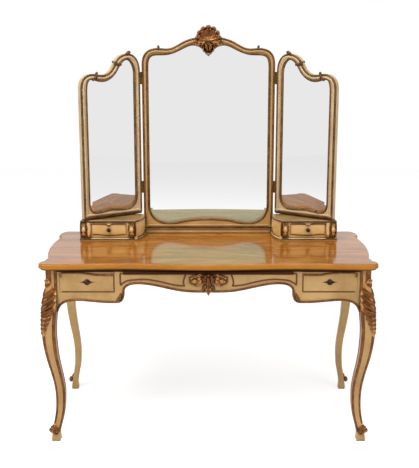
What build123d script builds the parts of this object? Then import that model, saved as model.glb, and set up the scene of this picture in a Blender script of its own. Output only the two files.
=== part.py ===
from build123d import *
import os
from math import cos, degrees, radians, sin

# A poudreuse: a lady's dressing table in the Louis XV manner, painted and parcel gilt,
# with two frieze drawers, a triple mirror and two trinket boxes on the top.
# Millimetres. +Z is up, the front faces -Y, and the origin is on the floor below the
# middle of the table top. Right is +X, seen from the front. Pieces that come in pairs
# are drawn for the right and mirrored for the left.

# Table top
table_height = 760
top_thickness = 26
top_half_length = 680  # middle to the ears at the back
top_half_depth = 315  # middle to the bow of the front edge, and to the straight back edge
bow_half_width = 344  # of the front edge's middle
front_tip_inset = 13  # how much shorter the front is at each end than the ears
top_edge_round = 8
top_step_height = 7  # of the narrower lower part of the edge
top_step_inset = 6

# Legs: a square post under the top, then a cabriole below it
post_size = 44
post_end_inset = 56  # of the posts' middles from the top's ends
post_front_inset = 50
post_back_inset = 44
post_height = 80  # from the top to the start of the knee
leg_corner = 5
# (height above the floor, how far the middle stands out from the post both ways, half width)
front_stations = [
    (0, 5.5, 17.5),
    (12, 5.5, 18),
    (30, 5, 16),
    (48, 2.5, 15.5),
    (67, -1, 16.8),
    (113, -11, 17.8),
    (164, -15.5, 18.6),
    (222, -15, 20),
    (280, -7.2, 20.8),
    (331, 2, 22.3),
    (394, 11, 24.8),
    (444, 15, 26.5),
    (494, 15.5, 27.5),
    (543, 11.5, 28),
    (575, 7.5, 27.7),
    (600, 5.5, 26.6),
    (630, 2.8, 24),
]
# The back legs are slimmer, with no carving on the knee
back_stations = [
    (0, 12, 15.5),
    (12, 12, 16),
    (30, 11.5, 14.2),
    (48, 9, 13.2),
    (67, 5.5, 13.2),
    (113, -4, 13.8),
    (164, -9.5, 14.5),
    (222, -9.5, 15.3),
    (280, -1, 16.2),
    (331, 9, 17.4),
    (394, 18, 18.8),
    (444, 21.5, 20),
    (494, 20.5, 22),
    (543, 14.5, 24.5),
    (575, 8.5, 25.7),
    (600, 4.7, 25.9),
    (630, 2.4, 23.6),
]
toe_scroll_radius = 11.5
toe_scroll_length = 32
toe_scroll_height = 44
toe_scroll_out = 10  # the scroll's middle from the foot's, both ways

# Aprons between the posts
apron_thickness = 22
apron_inset = 6  # the aprons' outer faces lie this far behind the posts'
top_rail_height = 12
top_rail_depth = 45
drawer_opening_height = 84
divider_width = 35
post_stile_width = 10  # upright strip between a drawer and the post
tenon_thickness = 8
tenon_length = 18
tenon_shoulder = 6
joint_clearance = 0.2
back_apron_height = 116
knee_half_width = 338  # of the centre apron, between the divider stiles
# Lower edges of the aprons, measured down from the underside of the top
apron_end_height = 134  # where their ends butt against the posts
bracket_drop = 188  # tip of the bracket against the knee
bracket_reach = 6  # how far the tip follows the knee past the post's face
drawer_arch_drop = 130
drawer_foot_drop = 138.5
shoulder_drop = 91  # where the divider stile meets the centre apron
knee_arch_drop = 60.5
centre_drop = 95
side_arch_drop = 104
side_centre_drop = 122

# Frieze drawers
drawer_gap = 1
running_gap = 0.3
drawer_front_thickness = 20
drawer_side_thickness = 10
drawer_side_height = 80
drawer_length = 440
drawer_back_thickness = 8
drawer_bottom_thickness = 5
drawer_bottom_rise = 6
groove_depth = 3
tail_length = 12
tail_count = 3
tail_tip = 17
tail_root = 12
partition_thickness = 18
runner_height = 14
runner_width = 26
guide_height = 12
glue_block_size = 24
glue_block_length = 60
glue_block_spacing = 260

# Drawer locks
lock_width = 46
lock_height = 52
lock_thickness = 9
lock_wall = 2
bolt_width = 14
bolt_length = 20
bolt_travel = 6
bolt_clearance = 0.1
mortise_clearance = 1
key_drop = 42  # keyhole below the drawer opening's upper edge
keyhole_radius = 2.6
keyhole_slot = 2.2
keyhole_length = 9
key_pin_radius = 1.1
escutcheon_half_length = 30
escutcheon_half_height = 12
escutcheon_thickness = 1.2

# Centre mirror
plinth_height = 21
plinth_proud = 7
frame_thickness = 26
frame_back_gap = 8  # from the frame's back to the top's back edge
frame_half_width = 295
stile_width = 27
frame_round = 6
shoulder_height = 809  # of the frame's shoulders above its foot
crest_height = 860  # of its arched top above its foot
sight_bottom = 45  # sight edge above the foot, in the middle
sight_sag = 19  # how much lower the sight edge hangs on both sides of that
rebate_inset = 18  # glass edge behind the frame's outer edge
rebate_depth = 13
glass_thickness = 5
backboard_thickness = 4
glass_clearance = 0.5

# Wing mirrors, drawn flat in their own plane: outwards from the hinge pin, and up
wing_angle = 36  # how far they stand forward of the centre mirror's plane
wing_foot_gap = 7  # above the trinket boxes' lids
wing_edge = 5  # from the hinge pin to the frames' edges, on both sides of it
wing_width = 296
wing_thickness = 24
wing_stile = 31
wing_rebate_inset = 16
wing_inner_height = 707
wing_outer_height = 624

# Hinges
hinge_pin_back = 3  # the pin's axis lies this far behind the frames' front faces
knuckle_radius = 4
pin_radius = 1.5
pin_clearance = 0.05
hinge_length = 54
knuckle_count = 5
knuckle_gap = 0.3
leaf_thickness = 1.5
leaf_depth = 18
lower_hinge_height = 165  # above the centre frame's foot
upper_hinge_height = 652

# Trinket boxes
box_outer_x = 563
box_inner_x = 322
box_neck_x = 289  # where the curved cheek meets the mirror frame
box_plinth_gap = 2
box_depth = 152
box_neck_depth = 57
box_height = 91
box_base = 10
box_lid = 9
box_lid_round = 4
box_overhang = 4
box_belly = 4
box_cheek = 7
box_wall = 10
tray_inner_margin = 38  # from the box's inner front corner to the tray
tray_outer_margin = 47
tray_height = 48
tray_rise = 24
tray_wall = 6
tray_floor = 4
tray_length = 138
tray_front_thickness = 12
tray_gap = 0.6
guide_thickness = 8
knob_radius = 9
knob_stem = 4
knob_length = 16

# Carvings, with ribs that spread from a hub
carving_depth = 16
crest_hub_height = 835  # above the frame's foot
crest_radius = 60
crest_rise = 14  # how much longer the middle rib is than the lowest ones
crest_leaf = 64
crest_ribs = 9
cartouche_hub_drop = 56
cartouche_radius = 32
cartouche_rise = 4
cartouche_leaf = 46
cartouche_ribs = 7

# Screws up through the top
screw_radius = 2.5
screw_head_radius = 5
screw_head_depth = 3
screw_length = 40

# Places that several pieces share
under_top = table_height - top_thickness
post_foot = under_top - post_height
apron_end_foot = under_top - apron_end_height
post_x = top_half_length - post_end_inset
front_post_y = post_front_inset - top_half_depth
back_post_y = top_half_depth - post_back_inset
post_inner_x = post_x - post_size / 2
apron_front_y = front_post_y - post_size / 2 + apron_inset
apron_back_y = apron_front_y + apron_thickness
back_apron_y = back_post_y + post_size / 2 - apron_inset - apron_thickness  # inner face
side_apron_x = post_x + post_size / 2 - apron_inset - apron_thickness  # inner face
post_back_y = front_post_y + post_size / 2  # the front posts' faces inside the table
drawer_rail_foot = under_top - drawer_arch_drop
opening_top = under_top - top_rail_height
opening_bottom = opening_top - drawer_opening_height
opening_inner_x = knee_half_width + divider_width
opening_outer_x = post_inner_x - post_stile_width
drawer_low_x = opening_inner_x + drawer_gap
drawer_high_x = opening_outer_x - drawer_gap
drawer_x = (drawer_low_x + drawer_high_x) / 2
drawer_bed = opening_bottom + running_gap
drawer_front_back = apron_front_y + drawer_front_thickness
frame_foot = table_height + plinth_height
wing_foot = table_height + box_height + wing_foot_gap
hinge_x = frame_half_width + wing_edge
frame_front_y = top_half_depth - frame_back_gap - frame_thickness
hinge_y = frame_front_y + hinge_pin_back
box_back_y = frame_front_y - plinth_proud - box_plinth_gap
box_neck_y = box_back_y - box_neck_depth
box_front_y = box_back_y - box_depth
tray_bed = table_height + tray_rise
tray_low_x = box_inner_x + tray_inner_margin
tray_high_x = box_outer_x - tray_outer_margin


def block(x, y, z):
    """A box from three pairs of ends."""
    size = [max(ends) - min(ends) for ends in (x, y, z)]
    middle = [(max(ends) + min(ends)) / 2 for ends in (x, y, z)]
    return Pos(*middle) * Box(*size)


def upright(points):
    """Points (x, z) put in the upright plane y = 0."""
    return [(x, 0, z) for x, z in points]


def curve(points, start, end):
    """A smooth upright line through the points, with its directions at both ends."""
    return Spline(*upright(points), tangents=upright([start, end]), tangent_scalars=(1, 1))


def lines(points):
    return Polyline(*upright(points))


def parallel(line, distance):
    """A smooth upright line beside another, on the left of its direction."""
    span_count = 16
    points = []
    for place in [index / span_count for index in range(span_count + 1)]:
        ahead = line % place
        points.append(line @ place + Vector(-ahead.Z, 0, ahead.X) * distance)
    return Spline(*points, tangents=[line % 0, line % 1], tangent_scalars=(1, 1))


def board(edges, front, thickness):
    """A board of an upright outline, from its front face backwards."""
    return extrude(Pos(0, front, 0) * make_face(edges), amount=thickness, dir=(0, 1, 0))


def slab(outline, low, high):
    """A level board of a flat outline, between two heights."""
    return extrude(Pos(0, 0, low) * outline, amount=high - low, dir=(0, 0, 1))


def mirrored(shape):
    return mirror(shape, about=Plane.YZ)


# ---------------------------------------------------------------- table top
def top_outline(inset=0.0):
    """Serpentine front, bowed ends with ears at the back, and a straight back edge."""
    half = top_half_length - inset
    depth = top_half_depth - inset
    tip = half - front_tip_inset
    front = Spline(
        (-tip + 16, -depth + 3),
        (-bow_half_width, -depth + 19),
        (0, -depth),
        (bow_half_width, -depth + 19),
        (tip - 16, -depth + 3),
        tangents=[(1, 0), (1, 0)],
        tangent_scalars=(1, 1),
    )
    right = [
        ThreePointArc((tip - 16, -depth + 3), (tip, -depth + 17), (tip - 8, -depth + 66)),
        Line((tip - 8, -depth + 66), (tip - 15, -depth + 130)),
        ThreePointArc((tip - 15, -depth + 130), (half - 3, 5), (half - 17, depth - 115)),
        ThreePointArc((half - 17, depth - 115), (half, depth - 55), (half - 25, depth)),
    ]
    left = [mirror(edge, about=Plane.YZ) for edge in right]
    back = Line((half - 25, depth), (-half + 25, depth))
    return make_face([front, *right, back, *left])


def table_top():
    """The veneered board, rounded above and stepped in below, with its screw holes."""
    step_top = under_top + top_step_height
    upper = slab(top_outline(), step_top, table_height)
    upper = fillet(upper.edges().group_by(Axis.Z)[-1], top_edge_round)
    top = upper + slab(top_outline(top_step_inset), under_top, step_top)
    for place in screw_places():
        top -= screw(place, joint_clearance)
    return top


def screw_places():
    """Under the mirror's plinth, and under the outer ends of both trinket boxes."""
    plinth_y = frame_front_y + frame_thickness / 2
    plinth = [(x, plinth_y) for x in (-frame_half_width * 2 / 3, 0, frame_half_width * 2 / 3)]
    wall_x = box_outer_x - box_wall / 2
    ends = [(wall_x, y) for y in (box_front_y + 40, box_back_y - 40)]
    return plinth + ends + [(-x, y) for x, y in ends]


def screw(place, spare=0.0):
    """A countersunk wood screw driven up from under the top, or its hole if it has spare."""
    foot = (Align.CENTER, Align.CENTER, Align.MIN)
    shank = Cylinder(screw_radius + spare, screw_length + spare, align=foot)
    head = Cone(screw_head_radius + spare, screw_radius + spare, screw_head_depth, align=foot)
    return Pos(*place, under_top) * (shank + head)


# ---------------------------------------------------------------- legs
def leg_section(side_y, z, out, half):
    return Pos(*out_from_post(side_y, out), z) * RectangleRounded(2 * half, 2 * half, leg_corner)


def out_from_post(side_y, out):
    """A place in plan that stands out from a right post's middle over its outer corner."""
    return (post_x + out, post_y(side_y) + side_y * out)


def post_y(side_y):
    return front_post_y if side_y < 0 else back_post_y


def leg(side_y):
    """A right leg: a square post and a cabriole that turns out over its corner."""
    stations = front_stations if side_y < 0 else back_stations
    foot_out = stations[0][1]
    stations = [*stations, (post_foot, 0, post_size / 2)]
    cabriole = loft([leg_section(side_y, *station) for station in stations])
    post = extrude(leg_section(side_y, post_foot, 0, post_size / 2), amount=post_height, dir=(0, 0, 1))
    scroll = Rot(0, 0, side_y * 45) * Rot(90, 0, 0) * Cylinder(toe_scroll_radius, toe_scroll_length)
    toe = Pos(*out_from_post(side_y, foot_out + toe_scroll_out), toe_scroll_height)
    return cabriole + post + toe * scroll


def mortised_leg(side_y):
    """The leg with the mortises that its aprons' tenons go into."""
    body = leg(side_y) - side_tenon(side_y, joint_clearance)
    if side_y > 0:
        return body - rail_tenon(back_apron_y, under_top, under_top - back_apron_height, joint_clearance)
    return body - rail_tenon(apron_front_y, opening_bottom, drawer_rail_foot, joint_clearance)


# ---------------------------------------------------------------- aprons
def rail_tenon(front, top, foot, spare=0.0):
    """A stub tenon at the right end of a front or back rail, or its mortise if it has spare."""
    middle = front + apron_thickness / 2
    half = tenon_thickness / 2 + spare
    return block(
        (post_inner_x, post_inner_x + tenon_length + spare),
        (middle - half, middle + half),
        (foot + tenon_shoulder - spare, top - tenon_shoulder + spare),
    )


def side_tenon(side_y, spare=0.0):
    """A stub tenon at an end of the right side apron, or its mortise if it has spare."""
    shoulder = post_y(side_y) - side_y * post_size / 2
    middle = side_apron_x + apron_thickness / 2
    half = tenon_thickness / 2 + spare
    return block(
        (middle - half, middle + half),
        (shoulder, shoulder + side_y * (tenon_length + spare)),
        (apron_end_foot + tenon_shoulder - spare, under_top - tenon_shoulder + spare),
    )


def front_top_rail():
    """The flat rail over the drawers and the knee space, pocketed for the lock bolts."""
    rail = block(
        (-post_inner_x, post_inner_x),
        (apron_front_y, apron_front_y + top_rail_depth),
        (opening_top, under_top),
    )
    bolt = bolt_block(mortise_clearance)
    return rail - bolt - mirrored(bolt)


def drawer_rail():
    """The scalloped rail below and outside the right drawer, bracketed against the knee."""
    low = [
        (post_inner_x + bracket_reach, under_top - bracket_drop),
        (post_inner_x - 17, under_top - drawer_arch_drop - 14),
        (post_inner_x - 52, under_top - drawer_arch_drop - 1),
        (post_inner_x - 96, under_top - drawer_arch_drop),
        (opening_inner_x + 35, under_top - drawer_foot_drop + 0.5),
        (opening_inner_x, under_top - drawer_foot_drop),
    ]
    corners = [
        low[-1],
        (opening_inner_x, opening_bottom),
        (opening_outer_x, opening_bottom),
        (opening_outer_x, opening_top),
        (post_inner_x, opening_top),
        (post_inner_x, apron_end_foot),
        low[0],
    ]
    rail = board([curve(low, (-0.2, 1), (-1, 0)), lines(corners)], apron_front_y, apron_thickness)
    return rail + rail_tenon(apron_front_y, opening_bottom, drawer_rail_foot) - leg(-1)


def divider_stile():
    """The upright between the right drawer and the centre apron, scrolled at its foot."""
    foot = under_top - drawer_foot_drop
    low = [
        (opening_inner_x, foot),
        (knee_half_width + 14, foot + 4),
        (knee_half_width + 3, foot + 20),
        (knee_half_width, under_top - shoulder_drop),
    ]
    corners = [low[-1], (knee_half_width, opening_top), (opening_inner_x, opening_top), low[0]]
    return board([curve(low, (-1, 0), (0, 1)), lines(corners)], apron_front_y, apron_thickness)


def centre_apron():
    """The shaped apron over the knee space."""
    shoulder = under_top - shoulder_drop
    low = [
        (knee_half_width, shoulder),
        (knee_half_width - 8, under_top - knee_arch_drop - 14),
        (knee_half_width - 29, under_top - knee_arch_drop - 3),
        (knee_half_width - 61, under_top - knee_arch_drop),
        (knee_half_width - 154, under_top - knee_arch_drop - 14),
        (knee_half_width - 242, under_top - centre_drop + 3),
        (0, under_top - centre_drop),
    ]
    right = curve(low, (0, 1), (-1, 0))
    half = knee_half_width
    rest = lines([(half, shoulder), (half, opening_top), (-half, opening_top), (-half, shoulder)])
    return board([right, mirrored(right), rest], apron_front_y, apron_thickness)


def side_apron():
    """The right end apron: a double arch between the posts, tenoned into both."""
    reach = (back_post_y - front_post_y - post_size) / 2
    low = [
        (reach + bracket_reach, under_top - bracket_drop),
        (reach - 18, under_top - side_arch_drop - 28),
        (reach - 60, under_top - side_arch_drop - 3),
        (reach - 100, under_top - side_arch_drop),
        (0, under_top - side_centre_drop),
    ]
    right = curve(low, (-0.2, 1), (-1, 0))
    corners = [
        low[0],
        (reach, apron_end_foot),
        (reach, under_top),
        (-reach, under_top),
        (-reach, apron_end_foot),
        (-low[0][0], low[0][1]),
    ]
    across = board([right, mirrored(right), lines(corners)], -apron_thickness / 2, apron_thickness)
    middle = (side_apron_x + apron_thickness / 2, (front_post_y + back_post_y) / 2, 0)
    apron = Pos(*middle) * Rot(0, 0, 90) * across
    for side_y in (-1, 1):
        apron = apron + side_tenon(side_y) - leg(side_y)
    return apron


def back_apron():
    foot = under_top - back_apron_height
    tenon = rail_tenon(back_apron_y, under_top, foot)
    apron = block(
        (-post_inner_x, post_inner_x),
        (back_apron_y, back_apron_y + apron_thickness),
        (foot, under_top),
    )
    return apron + tenon + mirrored(tenon)


# ---------------------------------------------------------------- inside the table
def partition():
    """The upright board beside the right drawer, notched round the top rail."""
    face = drawer_low_x - running_gap
    whole = block(
        (face - partition_thickness, face),
        (apron_back_y, back_apron_y),
        (opening_bottom - runner_height, under_top),
    )
    notch = block(
        (face - partition_thickness, face),
        (apron_back_y, apron_front_y + top_rail_depth),
        (opening_top, under_top),
    )
    return whole - notch


def runners():
    """What the right drawer slides on: runners below it, a guide beside it, kickers above it."""
    inner_x = drawer_low_x - running_gap
    guide_x = drawer_high_x + running_gap
    inner_y = (apron_back_y, back_apron_y)
    outer_y = (post_back_y, back_post_y - post_size / 2)
    kicker_y = (apron_front_y + top_rail_depth, back_apron_y)
    runner_z = (opening_bottom - runner_height, opening_bottom)
    inner_runner = block((inner_x, inner_x + runner_width), inner_y, runner_z)
    outer_runner = block((side_apron_x - runner_width, side_apron_x), outer_y, runner_z)
    guide_z = (opening_bottom, opening_bottom + guide_height)
    guide = block((guide_x, side_apron_x), outer_y, guide_z)
    kicker_z = (opening_top, under_top)
    inner_kicker = block((inner_x, inner_x + runner_width), kicker_y, kicker_z)
    outer_kicker = block((post_inner_x - runner_width, post_inner_x), kicker_y, kicker_z)
    return [inner_runner, outer_runner + guide, inner_kicker, outer_kicker]


def glue_blocks():
    """Rubbed blocks in the corner under the top, behind the front rail and the back apron."""
    blocks = []
    for middle in (-glue_block_spacing, 0, glue_block_spacing):
        x = (middle - glue_block_length / 2, middle + glue_block_length / 2)
        z = (under_top - glue_block_size, under_top)
        front_y = apron_front_y + top_rail_depth
        blocks.append(block(x, (front_y, front_y + glue_block_size), z))
        blocks.append(block(x, (back_apron_y - glue_block_size, back_apron_y), z))
    return blocks


# ---------------------------------------------------------------- frieze drawers
def tails(low_x):
    """The half-blind dovetails at the front end of a drawer side."""
    pitch = drawer_side_height / tail_count
    shapes = []
    for index in range(tail_count):
        z = drawer_bed + pitch * (index + 0.5)
        outline = Polyline(
            (low_x, drawer_front_back, z - tail_root / 2),
            (low_x, drawer_front_back - tail_length, z - tail_tip / 2),
            (low_x, drawer_front_back - tail_length, z + tail_tip / 2),
            (low_x, drawer_front_back, z + tail_root / 2),
            close=True,
        )
        shapes.append(extrude(make_face(outline), amount=drawer_side_thickness, dir=(1, 0, 0)))
    return shapes


def side_places():
    """The low x of the right drawer's two sides."""
    return [drawer_low_x, drawer_high_x - drawer_side_thickness]


def drawer_bottom():
    """The panel, let into the sides and the front by its grooves, and run under the back."""
    inner = drawer_side_thickness - groove_depth
    low = drawer_bed + drawer_bottom_rise
    return block(
        (drawer_low_x + inner, drawer_high_x - inner),
        (drawer_front_back - groove_depth, apron_front_y + drawer_length),
        (low, low + drawer_bottom_thickness),
    )


def drawer_front():
    front = block(
        (drawer_low_x, drawer_high_x),
        (apron_front_y, drawer_front_back),
        (opening_bottom + drawer_gap, opening_top - drawer_gap),
    )
    for low_x in side_places():
        for tail in tails(low_x):
            front -= tail
    return front - drawer_bottom() - lock_block() - keyhole(apron_front_y, drawer_front_back)


def drawer_sides():
    sides = []
    for low_x in side_places():
        side = block(
            (low_x, low_x + drawer_side_thickness),
            (drawer_front_back, apron_front_y + drawer_length),
            (drawer_bed, drawer_bed + drawer_side_height),
        )
        for tail in tails(low_x):
            side += tail
        sides.append(side - drawer_bottom())
    return sides


def drawer_back():
    return block(
        (drawer_low_x + drawer_side_thickness, drawer_high_x - drawer_side_thickness),
        (apron_front_y + drawer_length - drawer_back_thickness, apron_front_y + drawer_length),
        (drawer_bed + drawer_bottom_rise + drawer_bottom_thickness, drawer_bed + drawer_side_height),
    )


# ---------------------------------------------------------------- drawer locks
def lock_block():
    """The whole room of the right drawer's lock, let in flush with the front's back and top."""
    top = opening_top - drawer_gap
    return block(
        (drawer_x - lock_width / 2, drawer_x + lock_width / 2),
        (drawer_front_back - lock_thickness, drawer_front_back),
        (top - lock_height, top),
    )


def bolt_block(spare=0.0):
    """The bolt, drawn back flush with the lock's top, or its path up into the rail if it has spare."""
    inner = lock_wall + bolt_clearance - spare
    top = opening_top - drawer_gap
    rise = bolt_travel + drawer_gap + spare if spare else 0
    return block(
        (drawer_x - bolt_width / 2 - spare, drawer_x + bolt_width / 2 + spare),
        (drawer_front_back - lock_thickness + inner, drawer_front_back - inner),
        (top - bolt_length, top + rise),
    )


def keyhole(front, back):
    """A round hole with a slot below it, cut through from front to back."""
    height = opening_top - key_drop
    turned = Pos(drawer_x, (front + back) / 2, height) * Rot(90, 0, 0)
    hole = turned * Cylinder(keyhole_radius, back - front)
    slot_x = (drawer_x - keyhole_slot / 2, drawer_x + keyhole_slot / 2)
    return hole + block(slot_x, (front, back), (height - keyhole_length, height))


def lock_case():
    """A shut metal case, open for the bolt above and the key in front, with the key's pin."""
    low_x = drawer_x - lock_width / 2
    high_x = drawer_x + lock_width / 2
    front = drawer_front_back - lock_thickness
    top = opening_top - drawer_gap
    hollow = block(
        (low_x + lock_wall, high_x - lock_wall),
        (front + lock_wall, drawer_front_back - lock_wall),
        (top - lock_height + lock_wall, top - lock_wall),
    )
    slot = block(
        (drawer_x - bolt_width / 2 - bolt_clearance, drawer_x + bolt_width / 2 + bolt_clearance),
        (front + lock_wall, drawer_front_back - lock_wall),
        (top - lock_wall, top),
    )
    pin_y = (front + drawer_front_back - lock_wall) / 2
    pin_length = drawer_front_back - lock_wall - front
    pin = Pos(drawer_x, pin_y, opening_top - key_drop) * Rot(90, 0, 0)
    case = lock_block() - hollow - slot - keyhole(front, front + lock_wall)
    return case + pin * Cylinder(key_pin_radius, pin_length)


def escutcheon():
    """A thin pierced plate round the keyhole, drawn out to a point on both sides."""
    half = escutcheon_half_length
    rise = escutcheon_half_height
    right_up = [
        ThreePointArc((half, 0), (half * 0.6, rise * 0.2), (half * 0.34, rise * 0.5)),
        ThreePointArc((half * 0.34, rise * 0.5), (half * 0.2, rise * 0.88), (0, rise)),
    ]
    right = right_up + [mirror(edge, about=Plane.XZ) for edge in right_up]
    outline = make_face(right + [mirrored(edge) for edge in right])
    plate = extrude(outline, amount=escutcheon_thickness)
    plate = Pos(drawer_x, apron_front_y, opening_top - key_drop) * Rot(90, 0, 0) * plate
    return plate - keyhole(apron_front_y - escutcheon_thickness, apron_front_y)


# ---------------------------------------------------------------- mirrors
def glazed(outline, sight, inset, front, thickness):
    """A round-edged frame, and the glass and backboard in its rebate. The outline is a function
    of how far inside the frame's edge it runs."""
    blank = board(outline(0), front, thickness)
    edge = blank.edges().group_by(Axis.Y)[0].sort_by(Axis.Z)[1:]
    rebate_front = front + thickness - rebate_depth
    rebate = board(outline(inset), rebate_front, rebate_depth)
    frame = fillet(edge, frame_round) - board(sight, front, thickness) - rebate
    pane = outline(inset + glass_clearance)
    glass = board(pane, rebate_front, glass_thickness)
    return frame, glass, board(pane, rebate_front + glass_thickness, backboard_thickness)


def centre_outline(inset):
    """Straight stiles, rounded shoulders and a serpentine crest."""
    half = frame_half_width
    shoulder = frame_foot + shoulder_height
    points = [
        (half, shoulder - 70),
        (half - 18, shoulder - 18),
        (half - 65, shoulder),
        (half - 122, shoulder - 1),
        (half - 184, shoulder + 28),
        (half - 236, shoulder + 45),
        (0, frame_foot + crest_height),
    ]
    crest = parallel(curve(points, (0, 1), (-1, 0)), inset)
    half -= inset
    foot = frame_foot + inset
    stile = lines([(half, foot), (half, points[0][1])])
    return [lines([(-half, foot), (half, foot)]), stile, crest, mirrored(stile), mirrored(crest)]


def centre_mirror():
    """The glass shows between rounded lower corners and a sight edge that dips below the crest."""
    sight_half = frame_half_width - stile_width
    shoulder = frame_foot + shoulder_height
    bottom = frame_foot + sight_bottom
    top = [
        (sight_half, shoulder - 90),
        (sight_half - 10, shoulder - 40),
        (sight_half - 75, shoulder - 29),
        (sight_half - 155, shoulder - 2),
        (sight_half - 200, shoulder + 13),
        (sight_half - 240, shoulder - 1),
        (0, shoulder - 34),
    ]
    low = [
        (0, bottom),
        (sight_half - 165, bottom - 8),
        (sight_half - 75, bottom - sight_sag),
        (sight_half - 18, bottom + 8),
        (sight_half, bottom + 63),
    ]
    right = [
        curve(low, (1, 0), (0, 1)),
        lines([low[-1], top[0]]),
        curve(top, (0, 1), (-0.7, -1)),
    ]
    sight = right + [mirrored(edge) for edge in right]
    return glazed(centre_outline, sight, rebate_inset, frame_front_y, frame_thickness)


def mirror_plinth():
    """The moulded board that the centre mirror stands on."""
    plinth = block(
        (-frame_half_width, frame_half_width),
        (frame_front_y - plinth_proud, frame_front_y + frame_thickness),
        (table_height, frame_foot),
    )
    front_edge = plinth.edges().filter_by(Axis.X).group_by(Axis.Y)[0].sort_by(Axis.Z)[-1]
    plinth = fillet(front_edge, plinth_proud - 1)
    for place in screw_places():
        plinth -= screw(place)
    return plinth


def wing_outline(inset):
    """The right wing: tall and round-shouldered at the hinge, low at its outer end."""
    inner = wing_edge
    outer = wing_edge + wing_width
    high = wing_foot + wing_inner_height
    low = wing_foot + wing_outer_height
    points = [
        (inner, high - 86),
        (inner + 9, high - 32),
        (inner + 36, high - 3),
        (inner + 74, high),
        (inner + 116, high - 22),
        (inner + 136, high - 57),
        (outer - 118, low - 4),
        (outer - 60, low),
        (outer - 17, low - 16),
        (outer, low - 66),
    ]
    crest = parallel(curve(points, (0, 1), (0, -1)), -inset)
    inner += inset
    outer -= inset
    foot = wing_foot + inset
    return [crest, lines([(outer, points[-1][1]), (outer, foot), (inner, foot), (inner, points[0][1])])]


def wing_mirror():
    """The right wing, with a sight edge that follows its crest and a wavy lower one."""
    sight_in = wing_edge + wing_stile
    sight_out = wing_edge + wing_width - wing_stile
    high = wing_foot + wing_inner_height
    low = wing_foot + wing_outer_height
    foot = wing_foot
    sight_top = [
        (sight_in, high - 115),
        (sight_in + 7, high - 50),
        (sight_in + 33, high - 24),
        (sight_in + 60, high - 38),
        (sight_in + 90, high - 80),
        (sight_in + 140, low - 31),
        (sight_out - 48, low - 29),
        (sight_out - 17, low - 24),
        (sight_out, low - 80),
    ]
    sight_low = [
        (sight_out, foot + 80),
        (sight_out - 9, foot + 34),
        (sight_out - 34, foot + 22),
        (sight_out - 84, foot + 30),
        (sight_out - 145, foot + 27),
        (sight_in + 35, foot + 28),
        (sight_in + 9, foot + 46),
        (sight_in, foot + 92),
    ]
    sight = [
        curve(sight_top, (0, 1), (0, -1)),
        lines([sight_top[-1], sight_low[0]]),
        curve(sight_low, (0, -1), (0, 1)),
        lines([sight_low[-1], sight_top[0]]),
    ]
    pieces = glazed(wing_outline, sight, wing_rebate_inset, -hinge_pin_back, wing_thickness)
    return [wing_place() * piece for piece in pieces]


def wing_place():
    """From the right wing's own plane to where it stands, swung forward about its hinge pin."""
    return Pos(hinge_x, hinge_y, 0) * Rot(0, 0, -wing_angle)


# ---------------------------------------------------------------- hinges
def hinge_heights():
    return [frame_foot + lower_hinge_height, frame_foot + upper_hinge_height]


def hinge_leaf(low_z, own, bore):
    """A leaf on the +X side of its pin, with every other knuckle, from knuckle number own up."""
    pitch = hinge_length / knuckle_count
    plate = block(
        (wing_edge - leaf_thickness, wing_edge),
        (0, leaf_depth),
        (low_z, low_z + hinge_length),
    )
    foot = (Align.CENTER, Align.CENTER, Align.MIN)
    for index in range(knuckle_count):
        z = low_z + index * pitch
        if index % 2 == own:
            height = pitch - knuckle_gap
            plate += Pos(0, 0, z + knuckle_gap / 2) * Cylinder(knuckle_radius, height, align=foot)
        else:
            plate -= Pos(0, 0, z) * Cylinder(knuckle_radius + knuckle_gap, pitch, align=foot)
    return plate - Pos(0, 0, low_z) * Cylinder(bore, hinge_length, align=foot)


def frame_hinge_leaves():
    """The leaves on the centre frame's right edge."""
    place = Pos(hinge_x, hinge_y, 0)
    return [place * mirrored(hinge_leaf(z, 0, pin_radius)) for z in hinge_heights()]


def wing_hinge_leaves():
    bore = pin_radius + pin_clearance
    return [wing_place() * hinge_leaf(z, 1, bore) for z in hinge_heights()]


def hinge_pins():
    foot = (Align.CENTER, Align.CENTER, Align.MIN)
    pin = Cylinder(pin_radius, hinge_length, align=foot)
    return [Pos(hinge_x, hinge_y, z) * pin for z in hinge_heights()]


# ---------------------------------------------------------------- trinket boxes
def box_plan(out):
    """The right box seen from above, grown outwards except at its back."""
    outer = box_outer_x + out
    front = box_front_y - out
    inner = box_inner_x - out / 2
    neck = box_neck_x - out
    neck_y = box_neck_y - out / 2
    bulge = ((inner + neck) / 2 - box_cheek, (front + neck_y) / 2 - box_cheek / 3)
    return make_face(
        [
            Polyline((neck, neck_y), (neck, box_back_y), (outer, box_back_y)),
            Polyline((outer, box_back_y), (outer, front), (inner, front)),
            ThreePointArc((inner, front), bulge, (neck, neck_y)),
        ]
    )


def box_body():
    """The swelling form of the box between its base and its lid."""
    low = table_height + box_base
    high = table_height + box_height - box_lid
    heights = [(low, -box_belly), (low * 0.4 + high * 0.6, 0), (high, -box_belly)]
    return loft([Pos(0, 0, z) * box_plan(out) for z, out in heights])


def box_case():
    """Base, swelling walls, and the bed and guides of the small drawer."""
    low = table_height + box_base
    high = table_height + box_height - box_lid
    base = slab(box_plan(box_overhang), table_height, low)
    base = chamfer(base.edges().group_by(Axis.Z)[-1], box_overhang)
    inside = slab(box_plan(-box_belly - box_wall), low, high)
    inside = inside & block((0, box_outer_x), (0, box_back_y - box_wall), (low, high))
    length = (box_front_y + box_wall, box_back_y - box_wall / 2)
    bed = block((tray_low_x, tray_high_x), length, (low, tray_bed))
    tray_room = block(
        (tray_low_x, tray_high_x),
        (box_front_y - 2 * box_belly, box_back_y - box_wall),
        (tray_bed, tray_bed + tray_height),
    )
    case = box_body() - inside + bed
    for x in (tray_low_x - guide_thickness, tray_high_x):
        case += block((x, x + guide_thickness), length, (low, high))
    case = case - tray_room + base
    return case - screw_cut()


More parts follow.
